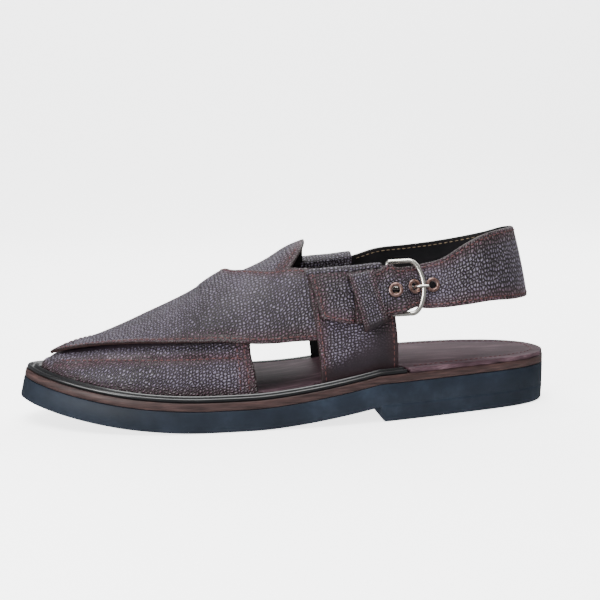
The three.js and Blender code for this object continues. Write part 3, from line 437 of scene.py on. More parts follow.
# Meshes: points in millimetres, faces with outward normals, values for the materials.
def makeObject(name, points, faces, materials, kinds=None, attributes=None, uv=None):
    mesh = bpy.data.meshes.new(name)
    points = (np.asarray(points, float).reshape(-1, 3) + (*shoe["shift"], 0)) * mm
    mesh.from_pydata(points.tolist(), [], [tuple(int(i) for i in face) for face in faces])
    for material in materials:
        mesh.materials.append(material)
    if kinds is not None:
        mesh.polygons.foreach_set("material_index", np.asarray(kinds, np.int32))
    mesh.polygons.foreach_set("use_smooth", np.ones(len(mesh.polygons), bool))
    for key, values in (attributes or {}).items():
        layer = mesh.attributes.new(key, "FLOAT", "POINT")
        layer.data.foreach_set("value", np.asarray(values, np.float32).ravel())
    if uv is not None:
        layer = mesh.uv_layers.new(name="UVMap")
        corners = np.empty(len(mesh.loops), np.int32)
        mesh.loops.foreach_get("vertex_index", corners)
        layer.data.foreach_set("uv", np.asarray(uv, np.float32).reshape(-1, 2)[corners].ravel())
    mesh.validate()
    mesh.update()
    made = bpy.data.objects.new(name, mesh)
    bpy.context.collection.objects.link(made)
    return made


def keepFacingOut(made):
    mesh = made.data
    mesh.calc_loop_triangles()
    corners, tris = np.empty(len(mesh.vertices) * 3), np.empty(len(mesh.loop_triangles) * 3, np.int32)
    mesh.vertices.foreach_get("co", corners)
    mesh.loop_triangles.foreach_get("vertices", tris)
    a, b, c = (corners.reshape(-1, 3)[tris.reshape(-1, 3)[:, k]] for k in range(3))
    if np.einsum("ij,ij->", a, np.cross(b, c)) < 0:
        mesh.flip_normals()
    return made


# Faces over closed rings of points. Each end is one face or a ladder of quads, or the two are joined.
def ringFaces(count, around, ends="face", first=0):
    index = first + np.arange(count * around).reshape(count, around)
    if ends == "joined":
        index = np.vstack([index, index[:1]])
    ahead = np.roll(index, -1, 1)
    faces = list(np.stack([index[:-1], index[1:], ahead[1:], ahead[:-1]], -1).reshape(-1, 4))
    for row, turn in ((index[0], 1), (index[-1], -1)):
        if ends == "face":
            faces.append(row[::turn])
        if ends == "ladder":
            faces += [(row[j], row[j + 1], row[-2 - j], row[-1 - j])[::turn] for j in range(around // 2 - 1)]
    return faces


def ringSolid(name, rings, material, ends="face", attributes=None, uv=None):
    rings = np.asarray(rings, float)
    faces = ringFaces(*rings.shape[:2], ends)
    return keepFacingOut(makeObject(name, rings, faces, [material], None, attributes, uv))


def circle(count, first, second):
    turn = 2 * np.pi * np.arange(count)[:, None] / count
    return np.cos(turn) * first + np.sin(turn) * second


# Grid positions for a rounded cut edge: close together beside both ends.
def edgeSteps(size, count, radius):
    near = np.array([0, 0.12, 0.35, 0.65, 1.0]) * radius / size
    return np.concatenate([near, np.linspace(near[-1], 1 - near[-1], count + 1)[1:-1], 1 - near[::-1]])


# A piece of cut leather: an outer face, an inner face and a rounded edge all round.
# surface(u, v, off) gives places, outer and inner give offsets from the last in millimetres.
# lay(u, v) gives the spots laid flat, for the grain; seam the distance to a seam; fade the part drawn smooth
# and darker, worn finish or painted shade.
def leatherPiece(name, surface, outer, inner, cells, lay, radius=0.75, seam=None, fade=None):
    probes = np.linspace(0, 1, 25)
    probeU, probeV = np.meshgrid(probes, probes, indexing="ij")
    probe = surface(probeU, probeV, outer(probeU, probeV))
    sizeU, sizeV = (np.linalg.norm(np.diff(probe, axis=k), axis=2).sum(k) for k in (0, 1))
    us, vs = edgeSteps(sizeU.max(), cells[0], radius), edgeSteps(sizeV.max(), cells[1], radius)
    u, v = np.meshgrid(us, vs, indexing="ij")
    distance = np.minimum(np.minimum(u, 1 - u) * np.interp(vs, probes, sizeU)[None, :],
                          np.minimum(v, 1 - v) * np.interp(us, probes, sizeV)[:, None])
    drop = radius - np.sqrt(np.maximum(0, radius**2 - np.maximum(0, radius - distance) ** 2))
    skins = surface(u, v, outer(u, v) - drop), surface(u, v, inner(u, v) + 0.25 * drop)
    n, m = u.shape
    index = np.arange(n * m).reshape(n, m)
    quads = np.stack([index[:-1, :-1], index[1:, :-1], index[1:, 1:], index[:-1, 1:]], -1).reshape(-1, 4)
    loop = np.concatenate([index[:-1, 0], index[-1, :-1], index[:0:-1, -1], index[0, :0:-1]])
    around = np.stack([loop, loop + n * m, np.roll(loop, -1) + n * m, np.roll(loop, -1)], -1)
    kinds = np.repeat([0, 1, 2], [len(quads), len(quads), len(around)])
    distance = np.minimum(distance, seam(u, v)) if seam else distance
    values = {"edgeDistance": distance, "grainFadeAndShade": fade(u, v) if fade else 0 * u}
    flat = np.stack(lay(u, v), -1) * mm
    return keepFacingOut(makeObject(
        name, np.stack(skins), np.vstack([quads, quads[:, ::-1] + n * m, around]),
        [grainLeather, lining, cutEdge],
        kinds, {key: np.stack([value, value]) for key, value in values.items()}, np.stack([flat, flat])))


# A round wire along a line, its ends rounded off.
def wire(name, points, radius, around, closed, upHint):
    points = np.asarray(points, float)
    run = unit(np.roll(points, -1, 0) - np.roll(points, 1, 0) if closed else np.gradient(points, axis=0))
    first = unit(upHint - run * (run @ upHint)[:, None])
    second = np.cross(run, first)
    size = np.full(len(points), float(radius))
    if not closed:
        back = np.linspace(-1, 0, 6)[:-1]
        ends = np.sqrt(1 - back**2) * radius
        ends[0] = radius * 0.05
        points = np.vstack([points[0] + run[0] * back[:, None] * radius, points,
                            points[-1] - run[-1] * back[::-1, None] * radius])
        first, second = (np.vstack([rows[[0] * 5], rows, rows[[-1] * 5]]) for rows in (first, second))
        size = np.concatenate([ends, size, ends[::-1]])
    rings = [point + circle(around, a, b) * r for point, a, b, r in zip(points, first, second, size)]
    return ringSolid(name, rings, nickel, "joined" if closed else "face")


# A slab of the sole from levels: each an inset from the rim and a height over the underside.
def slab(name, levels, material, count=230):
    t = np.linspace(0, 1, count)
    s = mix(0.0004, 0.9996, mix(t, (1 - np.cos(np.pi * t)) / 2, 0.85)) * length

    def levelAt(height):
        return lambda s, y: onSole(s, y, height(s) if callable(height) else height)

    rings = [loopRound(s, inset, levelAt(height)) for inset, height in levels]
    return ringSolid(name, rings, material, "ladder")


# Shader nodes: inputs are numbers, colours or sockets to link.
def toLinear(hexText):
    values = [int(hexText[i:i + 2], 16) / 255 for i in (1, 3, 5)]
    return tuple(v / 12.92 if v <= 0.04045 else ((v + 0.055) / 1.055) ** 2.4 for v in values) + (1.0,)


def addNode(tree, kind, inputs=None, **settings):
    node = tree.nodes.new(kind)
    for key, value in settings.items():
        setattr(node, key, value)
    for key, value in (inputs or {}).items():
        if isinstance(value, bpy.types.NodeSocket):
            tree.links.new(value, node.inputs[key])
        else:
            node.inputs[key].default_value = value
    return node


def addNoise(tree, place, scale, detail=2.0, roughness=0.5, output="Fac", **settings):
    inputs = {"Vector": place, "Scale": scale, "Detail": detail, "Roughness": roughness}
    return addNode(tree, "ShaderNodeTexNoise", inputs, **settings).outputs[output]


def calc(tree, operation, *values):
    return addNode(tree, "ShaderNodeMath", dict(enumerate(values)), operation=operation).outputs["Value"]


def ranged(tree, value, span, to=(0.0, 1.0), **settings):
    inputs = {"Value": value, "From Min": span[0], "From Max": span[1], "To Min": to[0], "To Max": to[1]}
    return addNode(tree, "ShaderNodeMapRange", inputs, **settings).outputs["Result"]


def mixed(tree, factor, a, b, **settings):
    return addNode(tree, "ShaderNodeMix", {"Factor": factor, 6: a, 7: b}, data_type="RGBA",
                   **settings).outputs[2]


def scaled(tree, place, scale):
    return addNode(tree, "ShaderNodeMapping", {"Vector": place, "Scale": scale}).outputs["Vector"]


def addRamp(tree, factor, stops):
    node = addNode(tree, "ShaderNodeValToRGB", {"Fac": factor})
    ramp = node.color_ramp
    while len(ramp.elements) > 1:
        ramp.elements.remove(ramp.elements[-1])
    ramp.elements[0].position, ramp.elements[0].color = stops[0][0], toLinear(stops[0][1])
    for place, colour in stops[1:]:
        ramp.elements.new(place).color = toLinear(colour)
    return node.outputs["Color"]


def addRelief(tree, body, height, strength, distance):
    bump = addNode(tree, "ShaderNodeBump", {"Strength": strength, "Distance": distance * mm,
                                            "Height": height})
    tree.links.new(bump.outputs["Normal"], body.inputs["Normal"])


def newMaterial(name, **shader):
    material = bpy.data.materials.new(name)
    material.use_nodes = True
    tree = material.node_tree
    body = tree.nodes["Principled BSDF"]
    for key, value in shader.items():
        body.inputs[key.replace("_", " ")].default_value = value
    return material, tree, body, addNode(tree, "ShaderNodeTexCoord").outputs["Object"]


# Colour from a noise (scale, detail, roughness) through stops; relief is strength and depth in millimetres.
def noisyMaterial(name, noise, stops, relief=None, drawn=None, reliefNoise=None, **shader):
    material, tree, body, place = newMaterial(name, **shader)
    cloud = addNoise(tree, scaled(tree, place, drawn) if drawn else place, *noise)
    tree.links.new(addRamp(tree, cloud, stops), body.inputs["Base Color"])
    if relief:
        addRelief(tree, body, addNoise(tree, place, *reliefNoise) if reliefNoise else cloud, *relief)
    return material


# Cowhide with a printed pebble grain, drum dyed, semi-gloss: pebbles about 1.9 by 1.5 mm catch the light on
# top. Beside its edges and seams the leather is redder and duller; further in it is lighter and cooler, a
# painted highlight.
def makeGrainLeather():
    material, tree, body, place = newMaterial("pebbledCowhide", IOR=1.5, Specular_IOR_Level=0.55,
                                              Coat_Weight=0.04, Coat_Roughness=0.25)
    laid = addNode(tree, "ShaderNodeTexCoord").outputs["UV"]
    edge, fadeAndShade = (addNode(tree, "ShaderNodeAttribute", attribute_name=key).outputs["Fac"]
                  for key in ("edgeDistance", "grainFadeAndShade"))
    drift = addNoise(tree, laid, 330.0, output="Color", noise_dimensions="2D")
    bent = mixed(tree, 0.0004, scaled(tree, laid, (1.0, 1.15, 1.0)), drift, blend_type="LINEAR_LIGHT")
    pebble = addNode(tree, "ShaderNodeTexVoronoi", {"Vector": bent, "Scale": 545.0, "Randomness": 0.72},
                     voronoi_dimensions="2D", feature="DISTANCE_TO_EDGE").outputs["Distance"]
    tops = ranged(tree, pebble, (0.04, 0.44), interpolation_type="SMOOTHSTEP")
    # Where the grain fades the pebbles go flat and dark: worn finish low on the quarters, painted shade under
    # the upper strip's lip and on the keeper's lower bend.
    raised = calc(tree, "MULTIPLY", tops, calc(tree, "SUBTRACT", 1.0, fadeAndShade))
    patches = addNoise(tree, place, 24.0, 4.0, 0.6)
    shade = calc(tree, "MULTIPLY_ADD", raised, 0.6, patches)
    # The cool stops give the lighter middle of each piece, a painted highlight; the red stops give the redder
    # tone beside edges and seams.
    cool = addRamp(tree, shade, [(0.38, "#0b0508"), (0.7, "#21161f"), (1.0, "#5a5363")])
    red = addRamp(tree, shade, [(0.38, "#0f0506"), (0.7, "#29151a"), (1.0, "#4b333e")])
    loose = calc(tree, "ADD", edge, calc(tree, "MULTIPLY_ADD", patches, 12.0, -6.0))
    skin = mixed(tree, ranged(tree, loose, (1.5, 9.0), interpolation_type="SMOOTHSTEP"), red, cool)
    tint = mixed(tree, ranged(tree, edge, (0.15, 0.9), (1.0, 0.0)), skin, toLinear("#1e1112"))
    tree.links.new(tint, body.inputs["Base Color"])
    fine = addNoise(tree, place, 2600.0)
    addRelief(tree, body, calc(tree, "MULTIPLY_ADD", fine, 0.1, raised), 1.0, 0.62)
    tree.links.new(ranged(tree, raised, (0.0, 1.0), (0.55, 0.3)), body.inputs["Roughness"])
    return material


# Nickel-plated wire, polished, with hairline wear.
def makeNickel():
    material, tree, body, place = newMaterial("nickelPlate", Base_Color=toLinear("#dcd8cf"), Metallic=1.0)
    gloss = ranged(tree, addNoise(tree, place, 500.0, 4.0), (0.0, 1.0), (0.14, 0.32))
    tree.links.new(gloss, body.inputs["Roughness"])
    return material


grainLeather, nickel = makeGrainLeather(), makeNickel()
# Sheep lining, smooth, dyed black: a flat soft sheen.
lining = noisyMaterial("blackLining", (60.0, 4.0), [(0.3, "#0b0a0c"), (0.7, "#151316")], (0.3, 0.1),
                       Roughness=0.55, IOR=1.45, Specular_IOR_Level=0.3)
# Cut leather edge, stained and rubbed: fibres show as fine streaks.
cutEdge = noisyMaterial("stainedLeatherEdge", (900.0, 3.0), [(0.3, "#170c0a"), (0.7, "#291714")], (0.4, 0.1),
                        Roughness=0.5, IOR=1.5)
# Insole of smooth brown leather, glazed: soft lighter streaks run along the foot, partly tone and partly a
# painted sheen.
insoleLeather = noisyMaterial("glazedInsoleLeather", (260.0, 4.0, 0.6),
                              [(0.3, "#22161a"), (0.55, "#3b2a30"), (0.78, "#604c53")], (0.35, 0.1),
                              (0.12, 1.0, 1.0), (1800.0,), Roughness=0.5, IOR=1.5, Specular_IOR_Level=0.15,
                              Coat_Weight=0.02, Coat_Roughness=0.35)
# Moulded rubber, matt, blue black: faint scuffs and a dry speckle.
soleRubber = noisyMaterial("mouldedSoleRubber", (30.0, 5.0, 0.65),
                           [(0.3, "#0d131b"), (0.55, "#151c26"), (0.78, "#222b37")], (0.5, 0.1), None,
                           (700.0, 3.0), Roughness=0.55, IOR=1.45, Specular_IOR_Level=0.22)
# Stacked leather midsole, edge waxed reddish brown: thin darker lines between the layers.
midsoleLeather = noisyMaterial("waxedMidsoleEdge", (900.0, 3.0),
                               [(0.3, "#1f1413"), (0.6, "#332321"), (0.8, "#46322e")], (0.3, 0.1),
                               (0.1, 0.1, 1.0), Roughness=0.5, IOR=1.5, Specular_IOR_Level=0.25)
# Welt of black bridle leather, ridges burnished by the wheel: a low gloss.
weltLeather = noisyMaterial("burnishedWelt", (220.0, 4.0), [(0.3, "#030304"), (0.7, "#08090b")], (0.35, 0.15),
                            Roughness=0.3, IOR=1.5, Specular_IOR_Level=0.5, Coat_Weight=0.5,
                            Coat_Roughness=0.12)
# Copper-plated eyelet, dulled in spots.
copper = noisyMaterial("dullCopperPlate", (700.0, 3.0), [(0.35, "#7f615a"), (0.7, "#b99a92")], Metallic=1.0,
                       Roughness=0.38)
# Bonded polyester thread, waxed: the twist is too fine to show, so it is drawn coarse.
thread = noisyMaterial("waxedBrownThread", (1600.0,), [(0.3, "#341b1b"), (0.7, "#58312f")], Roughness=0.6,
                       IOR=1.5)
paleThread = noisyMaterial("paleThread", (1600.0,), [(0.3, "#4a3d2e"), (0.7, "#736248")], Roughness=0.6,
                           IOR=1.5)
print("materials are made")


def settle(made, slotName, *nodes):
    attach(made, "root")
    if nodes:
        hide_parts(*nodes)


soleSettings = {"bevel": 1.2, "weltWidth": 6.6, "weltHeight": 2.6, "weltEnd": 92.0}
# Wavy ribs across the underside, inside a plain border, flush with the ground; sections are (across, up).
treadSettings = {"border": 5.0, "deep": 0.9, "pitch": 6.0, "rib": 2.8, "wave": 1.3, "waveLength": 15.0,
                 "section": [(-0.5, 0.3), (-0.36, 0), (0.36, 0), (0.5, 0.3), (0.5, 1.2), (-0.5, 1.2)]}


def makeTread(name, first, last, place, count=30):
    points, faces, section = [], [], treadSettings["section"]
    for middle in np.arange(first, last, treadSettings["pitch"]):
        ends = [rim(side, np.array([middle]), treadSettings["border"] + 0.3)[1][0] for side in sides]
        y = np.linspace(*ends, count)
        waved = middle + treadSettings["wave"] * np.sin(2 * np.pi * y / treadSettings["waveLength"])
        faces += ringFaces(count, len(section), first=len(points) * count * len(section))
        points.append(np.stack([place(waved + across * treadSettings["rib"], y, up * treadSettings["deep"])
                                for across, up in section], 1))
    settle(keepFacingOut(makeObject(name, points, faces, [soleRubber])), "sole_rubber")


# The heel block: insets, heights, and how far its front is cut back at each level.
def makeHeel():
    bevel, border, deep = soleSettings["bevel"], treadSettings["border"], treadSettings["deep"]
    top, seat = shoe["heel"] - fit, shoe["heel"] + bevel + 0.1
    levels = [(border + 0.5, deep, 3.2), (border, 0, 3.2), (bevel, 0, 3.2), (fit + 0.35, bevel * 0.35, 2.2),
              (fit, bevel, 1.3), (fit, bevel * 2.4, 0.4), (0.1, top * 0.7, 0), (0.02, top, 0),
              (0.01, seat, 0), (2.0, seat, 0)]
    back = mix(0.0004 * length, shoe["heelLength"], np.linspace(0, 1, 120) ** 1.6)
    rings = [loopRound(back * (1 - cut / shoe["heelLength"]), inset, lambda s, y, z=z: onFloor(s, y, z))
             for inset, z, cut in levels]
    settle(ringSolid("heel_rubber", rings, soleRubber, "ladder"), "sole_rubber", "heel_block")


# The insole covers the whole heel, and lies inside the feet of the quarters and strips further forward.
insoleSettings = {"outer": (0.318, 0.46, stripFoot["outer"]), "inner": (0.323, 0.449, stripFoot["inner"])}


def insoleInset(extra):
    def read(s, side):
        behind, ahead, strip = (share * length for share in insoleSettings[sideNames[side]])
        quarter = np.clip((s - behind + 5) / 2, 0, 1) * np.clip((ahead + 5 - s) / 2, 0, 1)
        base = mix(0.5, 7.5, np.clip((s - 89.7) / 1.7, 0, 1))
        return base + 2.1 * np.maximum(quarter, np.clip((s - strip + 5) / 2, 0, 1)) + extra

    return read


def makeSole():
    bevel, border = soleSettings["bevel"], treadSettings["border"]
    settle(slab("outsole_rubber", [
        (border + 0.5, treadSettings["deep"]), (border, 0), (bevel, 0), (bevel * 0.3, bevel * 0.3),
        (0, bevel),
        (0, lambda s: outsoleAt(s) - 0.35), (0.3, outsoleAt)], soleRubber), "sole_rubber", "outsole")
    makeHeel()
    makeTread("forefoot_ribs", shoe["heelLength"] + 6, 0.97 * length, onSole)
    makeTread("heel_ribs", 9, shoe["heelLength"] - 7, onFloor)
    settle(slab("midsole_stack", [
        (0.4, lambda s: outsoleAt(s) + fit), (0.1, lambda s: outsoleAt(s) + fit + 0.3),
        (0.1, lambda s: bedAt(s) - fit - 0.35), (0.45, lambda s: bedAt(s) - fit)], midsoleLeather),
        "midsole_leather", "midsole")
    rows = [(0.0, -0.05), (0.0, 1.7), (0.18, 2.08), (0.6, shoe["insole"]), (1.1, shoe["insole"])]
    settle(slab("insole_sheet", [(insoleInset(extra), lambda s, up=up: bedAt(s) + up) for extra, up in rows],
                insoleLeather, 520), "insole_leather", "insole")


# Section of the welt, from outside in: shares of its width and height, with two ridges.
weltProfile = {
    "across": [0, 0, 0.02, 0.07, 0.13, 0.19, 0.25, 0.33, 0.42, 0.5, 0.55, 0.6, 0.66, 0.72, 0.78, 0.86, 1, 1],
    "up": [0, 0.5, 0.66, 0.74, 0.78, 0.72, 0.5, 0.3, 0.26, 0.34, 0.66, 0.9, 1.0, 0.92, 0.66, 0.5, 0.46, 0],
}


def makeWelt():
    t = np.linspace(0, 1, 260)
    s = mix(soleSettings["weltEnd"], 0.9996 * length, mix(t, np.sin(t * np.pi / 2), 0.8))
    width, height = soleSettings["weltWidth"], soleSettings["weltHeight"]
    rows = [loopRound(s, shoe["feather"] - fit - width + across * width,
                      lambda s, y, up=up: onSole(s, y, bedAt(s) + up * height))
            for across, up in zip(weltProfile["across"], weltProfile["up"])]
    settle(ringSolid("welt_strip", np.stack(rows, 1), weltLeather), "welt_leather", "welt")


makeSole()
makeWelt()
print("sole is made")

creaseSettings = {"lip": 2.5, "ridge": 0.7, "trough": 0.85, "belly": 0.6, "seam": 7.5, "shadeReach": 10.0}
# Soft forms of the upper strip: spot along the foot and round it (mm), reach both ways, height, turn.
softForms = [
    (180, -3, 15, 14, 3.0, 0), (193, -34, 24, 15, 0.7, 0.25), (161, -27, 9, 18, -0.75, 0.1),
    (206, -16, 2.6, 17, -0.3, 0.35), (219, -22, 2.4, 14, -0.28, 0.4), (236, -17, 3.0, 10, -0.25, 0.5),
    (180, -8, 3.0, 12, -0.35, 0.2), (206, 18, 2.6, 16, -0.3, -0.35), (222, 24, 2.4, 13, -0.28, -0.4),
]


def onRegion(region):
    def place(u, v, off):
        s, around = region(u, v)
        return onLast(s, around, off)

    return place


def raisedTop(s, around):
    return smooth(0.44, 0.52, s / length) * smooth(0, 0.16, 1 - around)


# The strip's lower edge stands off the leather below it.
def topLip(u, v):
    along = 0.35 * smooth(0.12, 0.3, u) + 0.65 * smooth(0.33, 0.45, u)
    return creaseSettings["lip"] * smooth(0.9, 1.0, v) * along * (1 - smooth(0.74, 0.86, u))


def softForm(s, around):
    x, y = flatOnLast(s, around)
    total = 0 * x
    for atX, atY, reachX, reachY, rise, turn in softForms:
        dx, dy, c, d = x - atX, y - atY, math.cos(turn), math.sin(turn)
        total = total + rise * np.exp(-((dx * c + dy * d) / reachX) ** 2 - ((dy * c - dx * d) / reachY) ** 2)
    return total


def topOuter(u, v):
    return wall + 0.05 + (wall + fit) * raisedTop(*topSpots(u, v)) + topLip(u, v) + softForm(*topSpots(u, v))


def topInner(u, v):
    return wall * raisedTop(*topSpots(u, v)) + 0.1 + topLip(u, v) + softForm(*topSpots(u, v))


# How far a spot lies below the upper strip's lower edge, in millimetres over the leather.
lowerAt, lowerAround = shareEdge(frontTop[4:])(np.linspace(0, 1, 400))
lowerOrder = np.argsort(lowerAt)


def edgeOfTop(s):
    return np.interp(s, lowerAt[lowerOrder], lowerAround[lowerOrder])


def belowTop(s, around):
    return (edgeOfTop(s) - around) * sizeAround(s, around, 0.5)


def underShape(s, around):
    below = belowTop(s, around)
    mask = smooth(170, 186, s) * (1 - smooth(274, 284, s)) * (around < 0.5)
    return wall + mask * (creaseSettings["ridge"] * bell(below, 3.8, 1.8)
                          - creaseSettings["trough"] * bell(below, creaseSettings["seam"], 1.4)
                          + creaseSettings["belly"] * bell(below, 13.5, 4.5))


def underOuter(u, v):
    return underShape(*underSpots(u, v))


# Under the upper strip's lip the leather is drawn smooth and dark: painted shade in the gap between the
# strips, reaching on under the strip.
def underGapShade(u, v):
    s, around = underSpots(u, v)
    below, shadeReach = belowTop(s, around), creaseSettings["shadeReach"]
    lipShade = smooth(-shadeReach - 2, 2 - shadeReach, below) * (1 - smooth(-0.6, 0.6, below))
    return np.where((around < 0.5) & (s > 160) & (s < 286), lipShade, 0)


def underSeam(u, v):
    s, around = underSpots(u, v)
    away = np.abs(belowTop(s, around) - creaseSettings["seam"])
    return np.where((around < 0.5) & (s > 174) & (s < 284), 1.5 + away * 1.6, 50)


def underSeamRow():
    s = np.linspace(180, 280, 300)
    around = edgeOfTop(s)
    for _ in range(6):
        around = np.clip(around + (belowTop(s, around) - creaseSettings["seam"]) * 0.004, 0.005, 0.49)
    return onLast(s, around, underShape(s, around) + 0.08), lastNormal(s, around)


# The quarters turn out over the welt, and are drawn smooth there, most at the back.
def upFromFoot(side, around):
    return around if side < 0 else 1 - around


def quarterOuter(side):
    return lambda u, v: wall + wall * smooth(0.01, 0.09, upFromFoot(side, quarterSpots[side](u, v)[1]))


def quarterFade(side):
    def read(u, v):
        s, around = quarterSpots[side](u, v)
        return 0.95 * (1 - smooth(0.02, 0.17 - 0.11 * smooth(100, 137, s), upFromFoot(side, around)))

    return read


# The outer band's free lower edge, ahead of the keeper, stands off the quarter.
def bandOuter(u, v):
    return 3 * wall + 1.3 * (1 - smooth(0, 0.3, v)) * smooth(0, 0.1, u) * (1 - smooth(0.42, 0.6, u))


# The inner band is a loop open to the back, which holds the strap's other end.
strapSettings = {"thickness": 2.4, "width": 25.4, "top": 100.8, "breadth": 35.0, "hingeAt": 101.0,
                 "level": 0.836, "barAt": 82.3, "eyelets": [76.8, 87.4, 98.0], "hole": 2.55}
halfStrap = strapSettings["thickness"] / 2
pocket = 2 * wall + strapSettings["thickness"] + 4 * fit


def pocketInner(u, v):
    return mix(pocket, 2 * wall, smooth(134.7, 136.7, bandSpots[innerSide](u, v)[0]))


def spread(name, region, outer, inner, cells, **more):
    settle(leatherPiece(name, onRegion(region), outer, inner, cells, lambda u, v: flatOnLast(*region(u, v)),
                        **more), "upper_leather", "upper")


def makeUpper():
    spread("top_strip", topSpots, topOuter, topInner, (170, 110))
    spread("under_strip", underSpots, underOuter, lambda u, v: 0 * u, (130, 170), seam=underSeam,
           fade=underGapShade)
    for side in sides:
        outer = quarterOuter(side)
        spread(sideNames[side] + "_quarter", quarterSpots[side], outer,
               lambda u, v, outer=outer: outer(u, v) - wall + 0.05, (80, 60), fade=quarterFade(side))
    spread("outer_band", bandSpots[outerSide], bandOuter, lambda u, v: bandOuter(u, v) - wall + 0.05,
           (70, 50))
    spread("inner_band", bandSpots[innerSide], lambda u, v: pocket + wall + 0 * u, pocketInner, (70, 50))


# The strap's middle line round the heel: along and across the shoe, top, bottom and lean of each section.
strapTable = [
    (0.315, 0.77, 0.868, 0.57, 2.6), (0.25, 0.83, 0.883, 0.572, 2.4), (0.19, 0.87, 0.9, 0.576, 2.4),
    (0.138, 0.8, 0.925, 0.58, 2.8), (0.093, 0.62, 0.956, 0.587, 3.8), (0.064, 0.33, 0.988, 0.594, 4.5),
    (0.0545, 0.03, 1, 0.6, 4.6), (0.064, -0.29, 1, 0.606, 4.4), (0.096, -0.6, 1, 0.61, 3.8),
    (0.15, -0.85, 0.975, 0.615, 2.8), (0.19, -0.945, 0.93, 0.605, 2.4), (0.24, -0.985, 0.85, 0.594, 2.5),
    (0.27, -0.98, 0.83, 0.594, 2.6), (0.288, -0.985, 0.818, 0.603, 2.7), (0.304, -1.04, 0.816, 0.594, 2.9),
    (0.32, -1.115, 0.818, 0.58, 3.2),
]
railSteps = 4000


def strapRails():
    rows = [[hug(innerSide, at * length, level, 2 * wall + 2 * fit + halfStrap)
             for level in (0.7, 0.84, 0.98)]
            for at in (0.438, 0.416, 0.393, 0.37)]
    for i, (at, out, high, low, lean) in enumerate(strapTable):
        before, after = strapTable[max(0, i - 1)], strapTable[min(len(strapTable) - 1, i + 1)]
        run = np.array([(before[0] - after[0]) * length, (after[1] - before[1]) * strapSettings["breadth"]])
        aside = unit(np.array([-run[1], run[0]]))
        x, y = length / 2 - at * length, out * strapSettings["breadth"]
        rows.append([np.array([x + aside[0] * tip * lean, y + aside[1] * tip * lean,
                               height * strapSettings["top"]])
                     for height, tip in ((low, 1), ((low + high) / 2, 0.12), (high, -1))])
    for at, drop, width in ((0.337, 0.01, 1), (0.36, 0.034, 0.925), (0.385, 0.057, 0.915),
                            (0.403, 0.068, 0.9)):
        reach, centre = strapSettings["width"] * width / 2 / shoe["ankle"], strapSettings["level"] - drop
        rows.append([hug(outerSide, at * length, centre + k * reach, 3 * wall + 2 * fit + halfStrap)
                     for k in (-1, 0, 1)])
    return [curveThrough([row[k] for row in rows], False, railSteps) for k in range(3)]


rails = strapRails()


def strapPoint(along, across):
    t = np.clip(np.asarray(along, float), 0, 1) * railSteps
    low, middle, high = (np.stack([np.interp(t, np.arange(railSteps + 1), rail[:, k]) for k in range(3)], -1)
                         for rail in rails)
    across = np.asarray(across, float)[..., None]
    return (low * 2 * (across - 0.5) * (across - 1) - middle * 4 * across * (across - 1)
            + high * 2 * across * (across - 0.5))


def strapNormal(along, across):
    run = strapPoint(np.clip(along + 0.004, 0, 1), across) - strapPoint(np.clip(along - 0.004, 0, 1), across)
    rise = strapPoint(along, across + 0.05) - strapPoint(along, across - 0.05)
    return unit(np.cross(rise, run))


def onStrap(along, across, off):
    along, across = np.broadcast_arrays(np.asarray(along, float), np.asarray(across, float))
    return strapPoint(along, across) + strapNormal(along, across) * np.asarray(off)[..., None]


def strapAlongAt(s):
    t = np.linspace(0.6, 1, railSteps + 1)
    return float(np.interp(s, length / 2 - strapPoint(t, 0.5 + 0 * t)[:, 0], t))


strapAlong = np.linspace(0, 1, 2001)
strapRun = runAlong(strapPoint(strapAlong, 0.5))
strapDents = [np.interp(strapAlongAt(s), strapAlong, strapRun) for s in strapSettings["eyelets"]]


def layStrap(u, v):
    return np.interp(u, strapAlong, strapRun), v * strapSettings["width"]


def strapOuter(u, v):
    x, y = layStrap(u, v)
    middle = strapSettings["width"] / 2
    return halfStrap - sum(0.45 * bell(np.hypot(x - at, y - middle), 3.2, 2.2) for at in strapDents)


def eyeletFrame(s):
    along = strapAlongAt(s)
    centre, out = strapPoint(along, 0.5), strapNormal(along, 0.5)
    up = strapPoint(along, 0.6) - strapPoint(along, 0.4)
    up = unit(up - out * (up @ out))
    return centre, out, up, np.cross(up, out)


# The strap, with three round holes for the eyelets.
def makeStrap(around=36):
    made = leatherPiece("heel_strap_leather", onStrap, strapOuter, lambda u, v: -halfStrap + 0 * u, (520, 44),
                        layStrap, 0.9)
    rings, faces = [], []
    for s in strapSettings["eyelets"]:
        centre, out, up, side = eyeletFrame(s)
        faces += ringFaces(2, around, first=len(rings) * around)
        rings += [centre + out * height + circle(around, side, up) * strapSettings["hole"]
                  for height in (5, -5)]
    cutter = makeObject("punch", rings, faces, [cutEdge])
    modifier = made.modifiers.new("punched", "BOOLEAN")
    modifier.object, modifier.operation, modifier.solver = cutter, "DIFFERENCE", "EXACT"
    mesh = bpy.data.meshes.new_from_object(made.evaluated_get(bpy.context.evaluated_depsgraph_get()))
    made.modifiers.clear()
    made.data = mesh
    bpy.data.objects.remove(cutter)
    settle(made, "upper_leather", "heel_strap")


makeUpper()
makeStrap()
print("upper and strap are made")

# Folded tops of the side bands: grain leather turned over the edge and down inside.
foldSettings = {"inside": 7.0, "round": 14, "thickness": 1.1, "innerOff": -0.6}


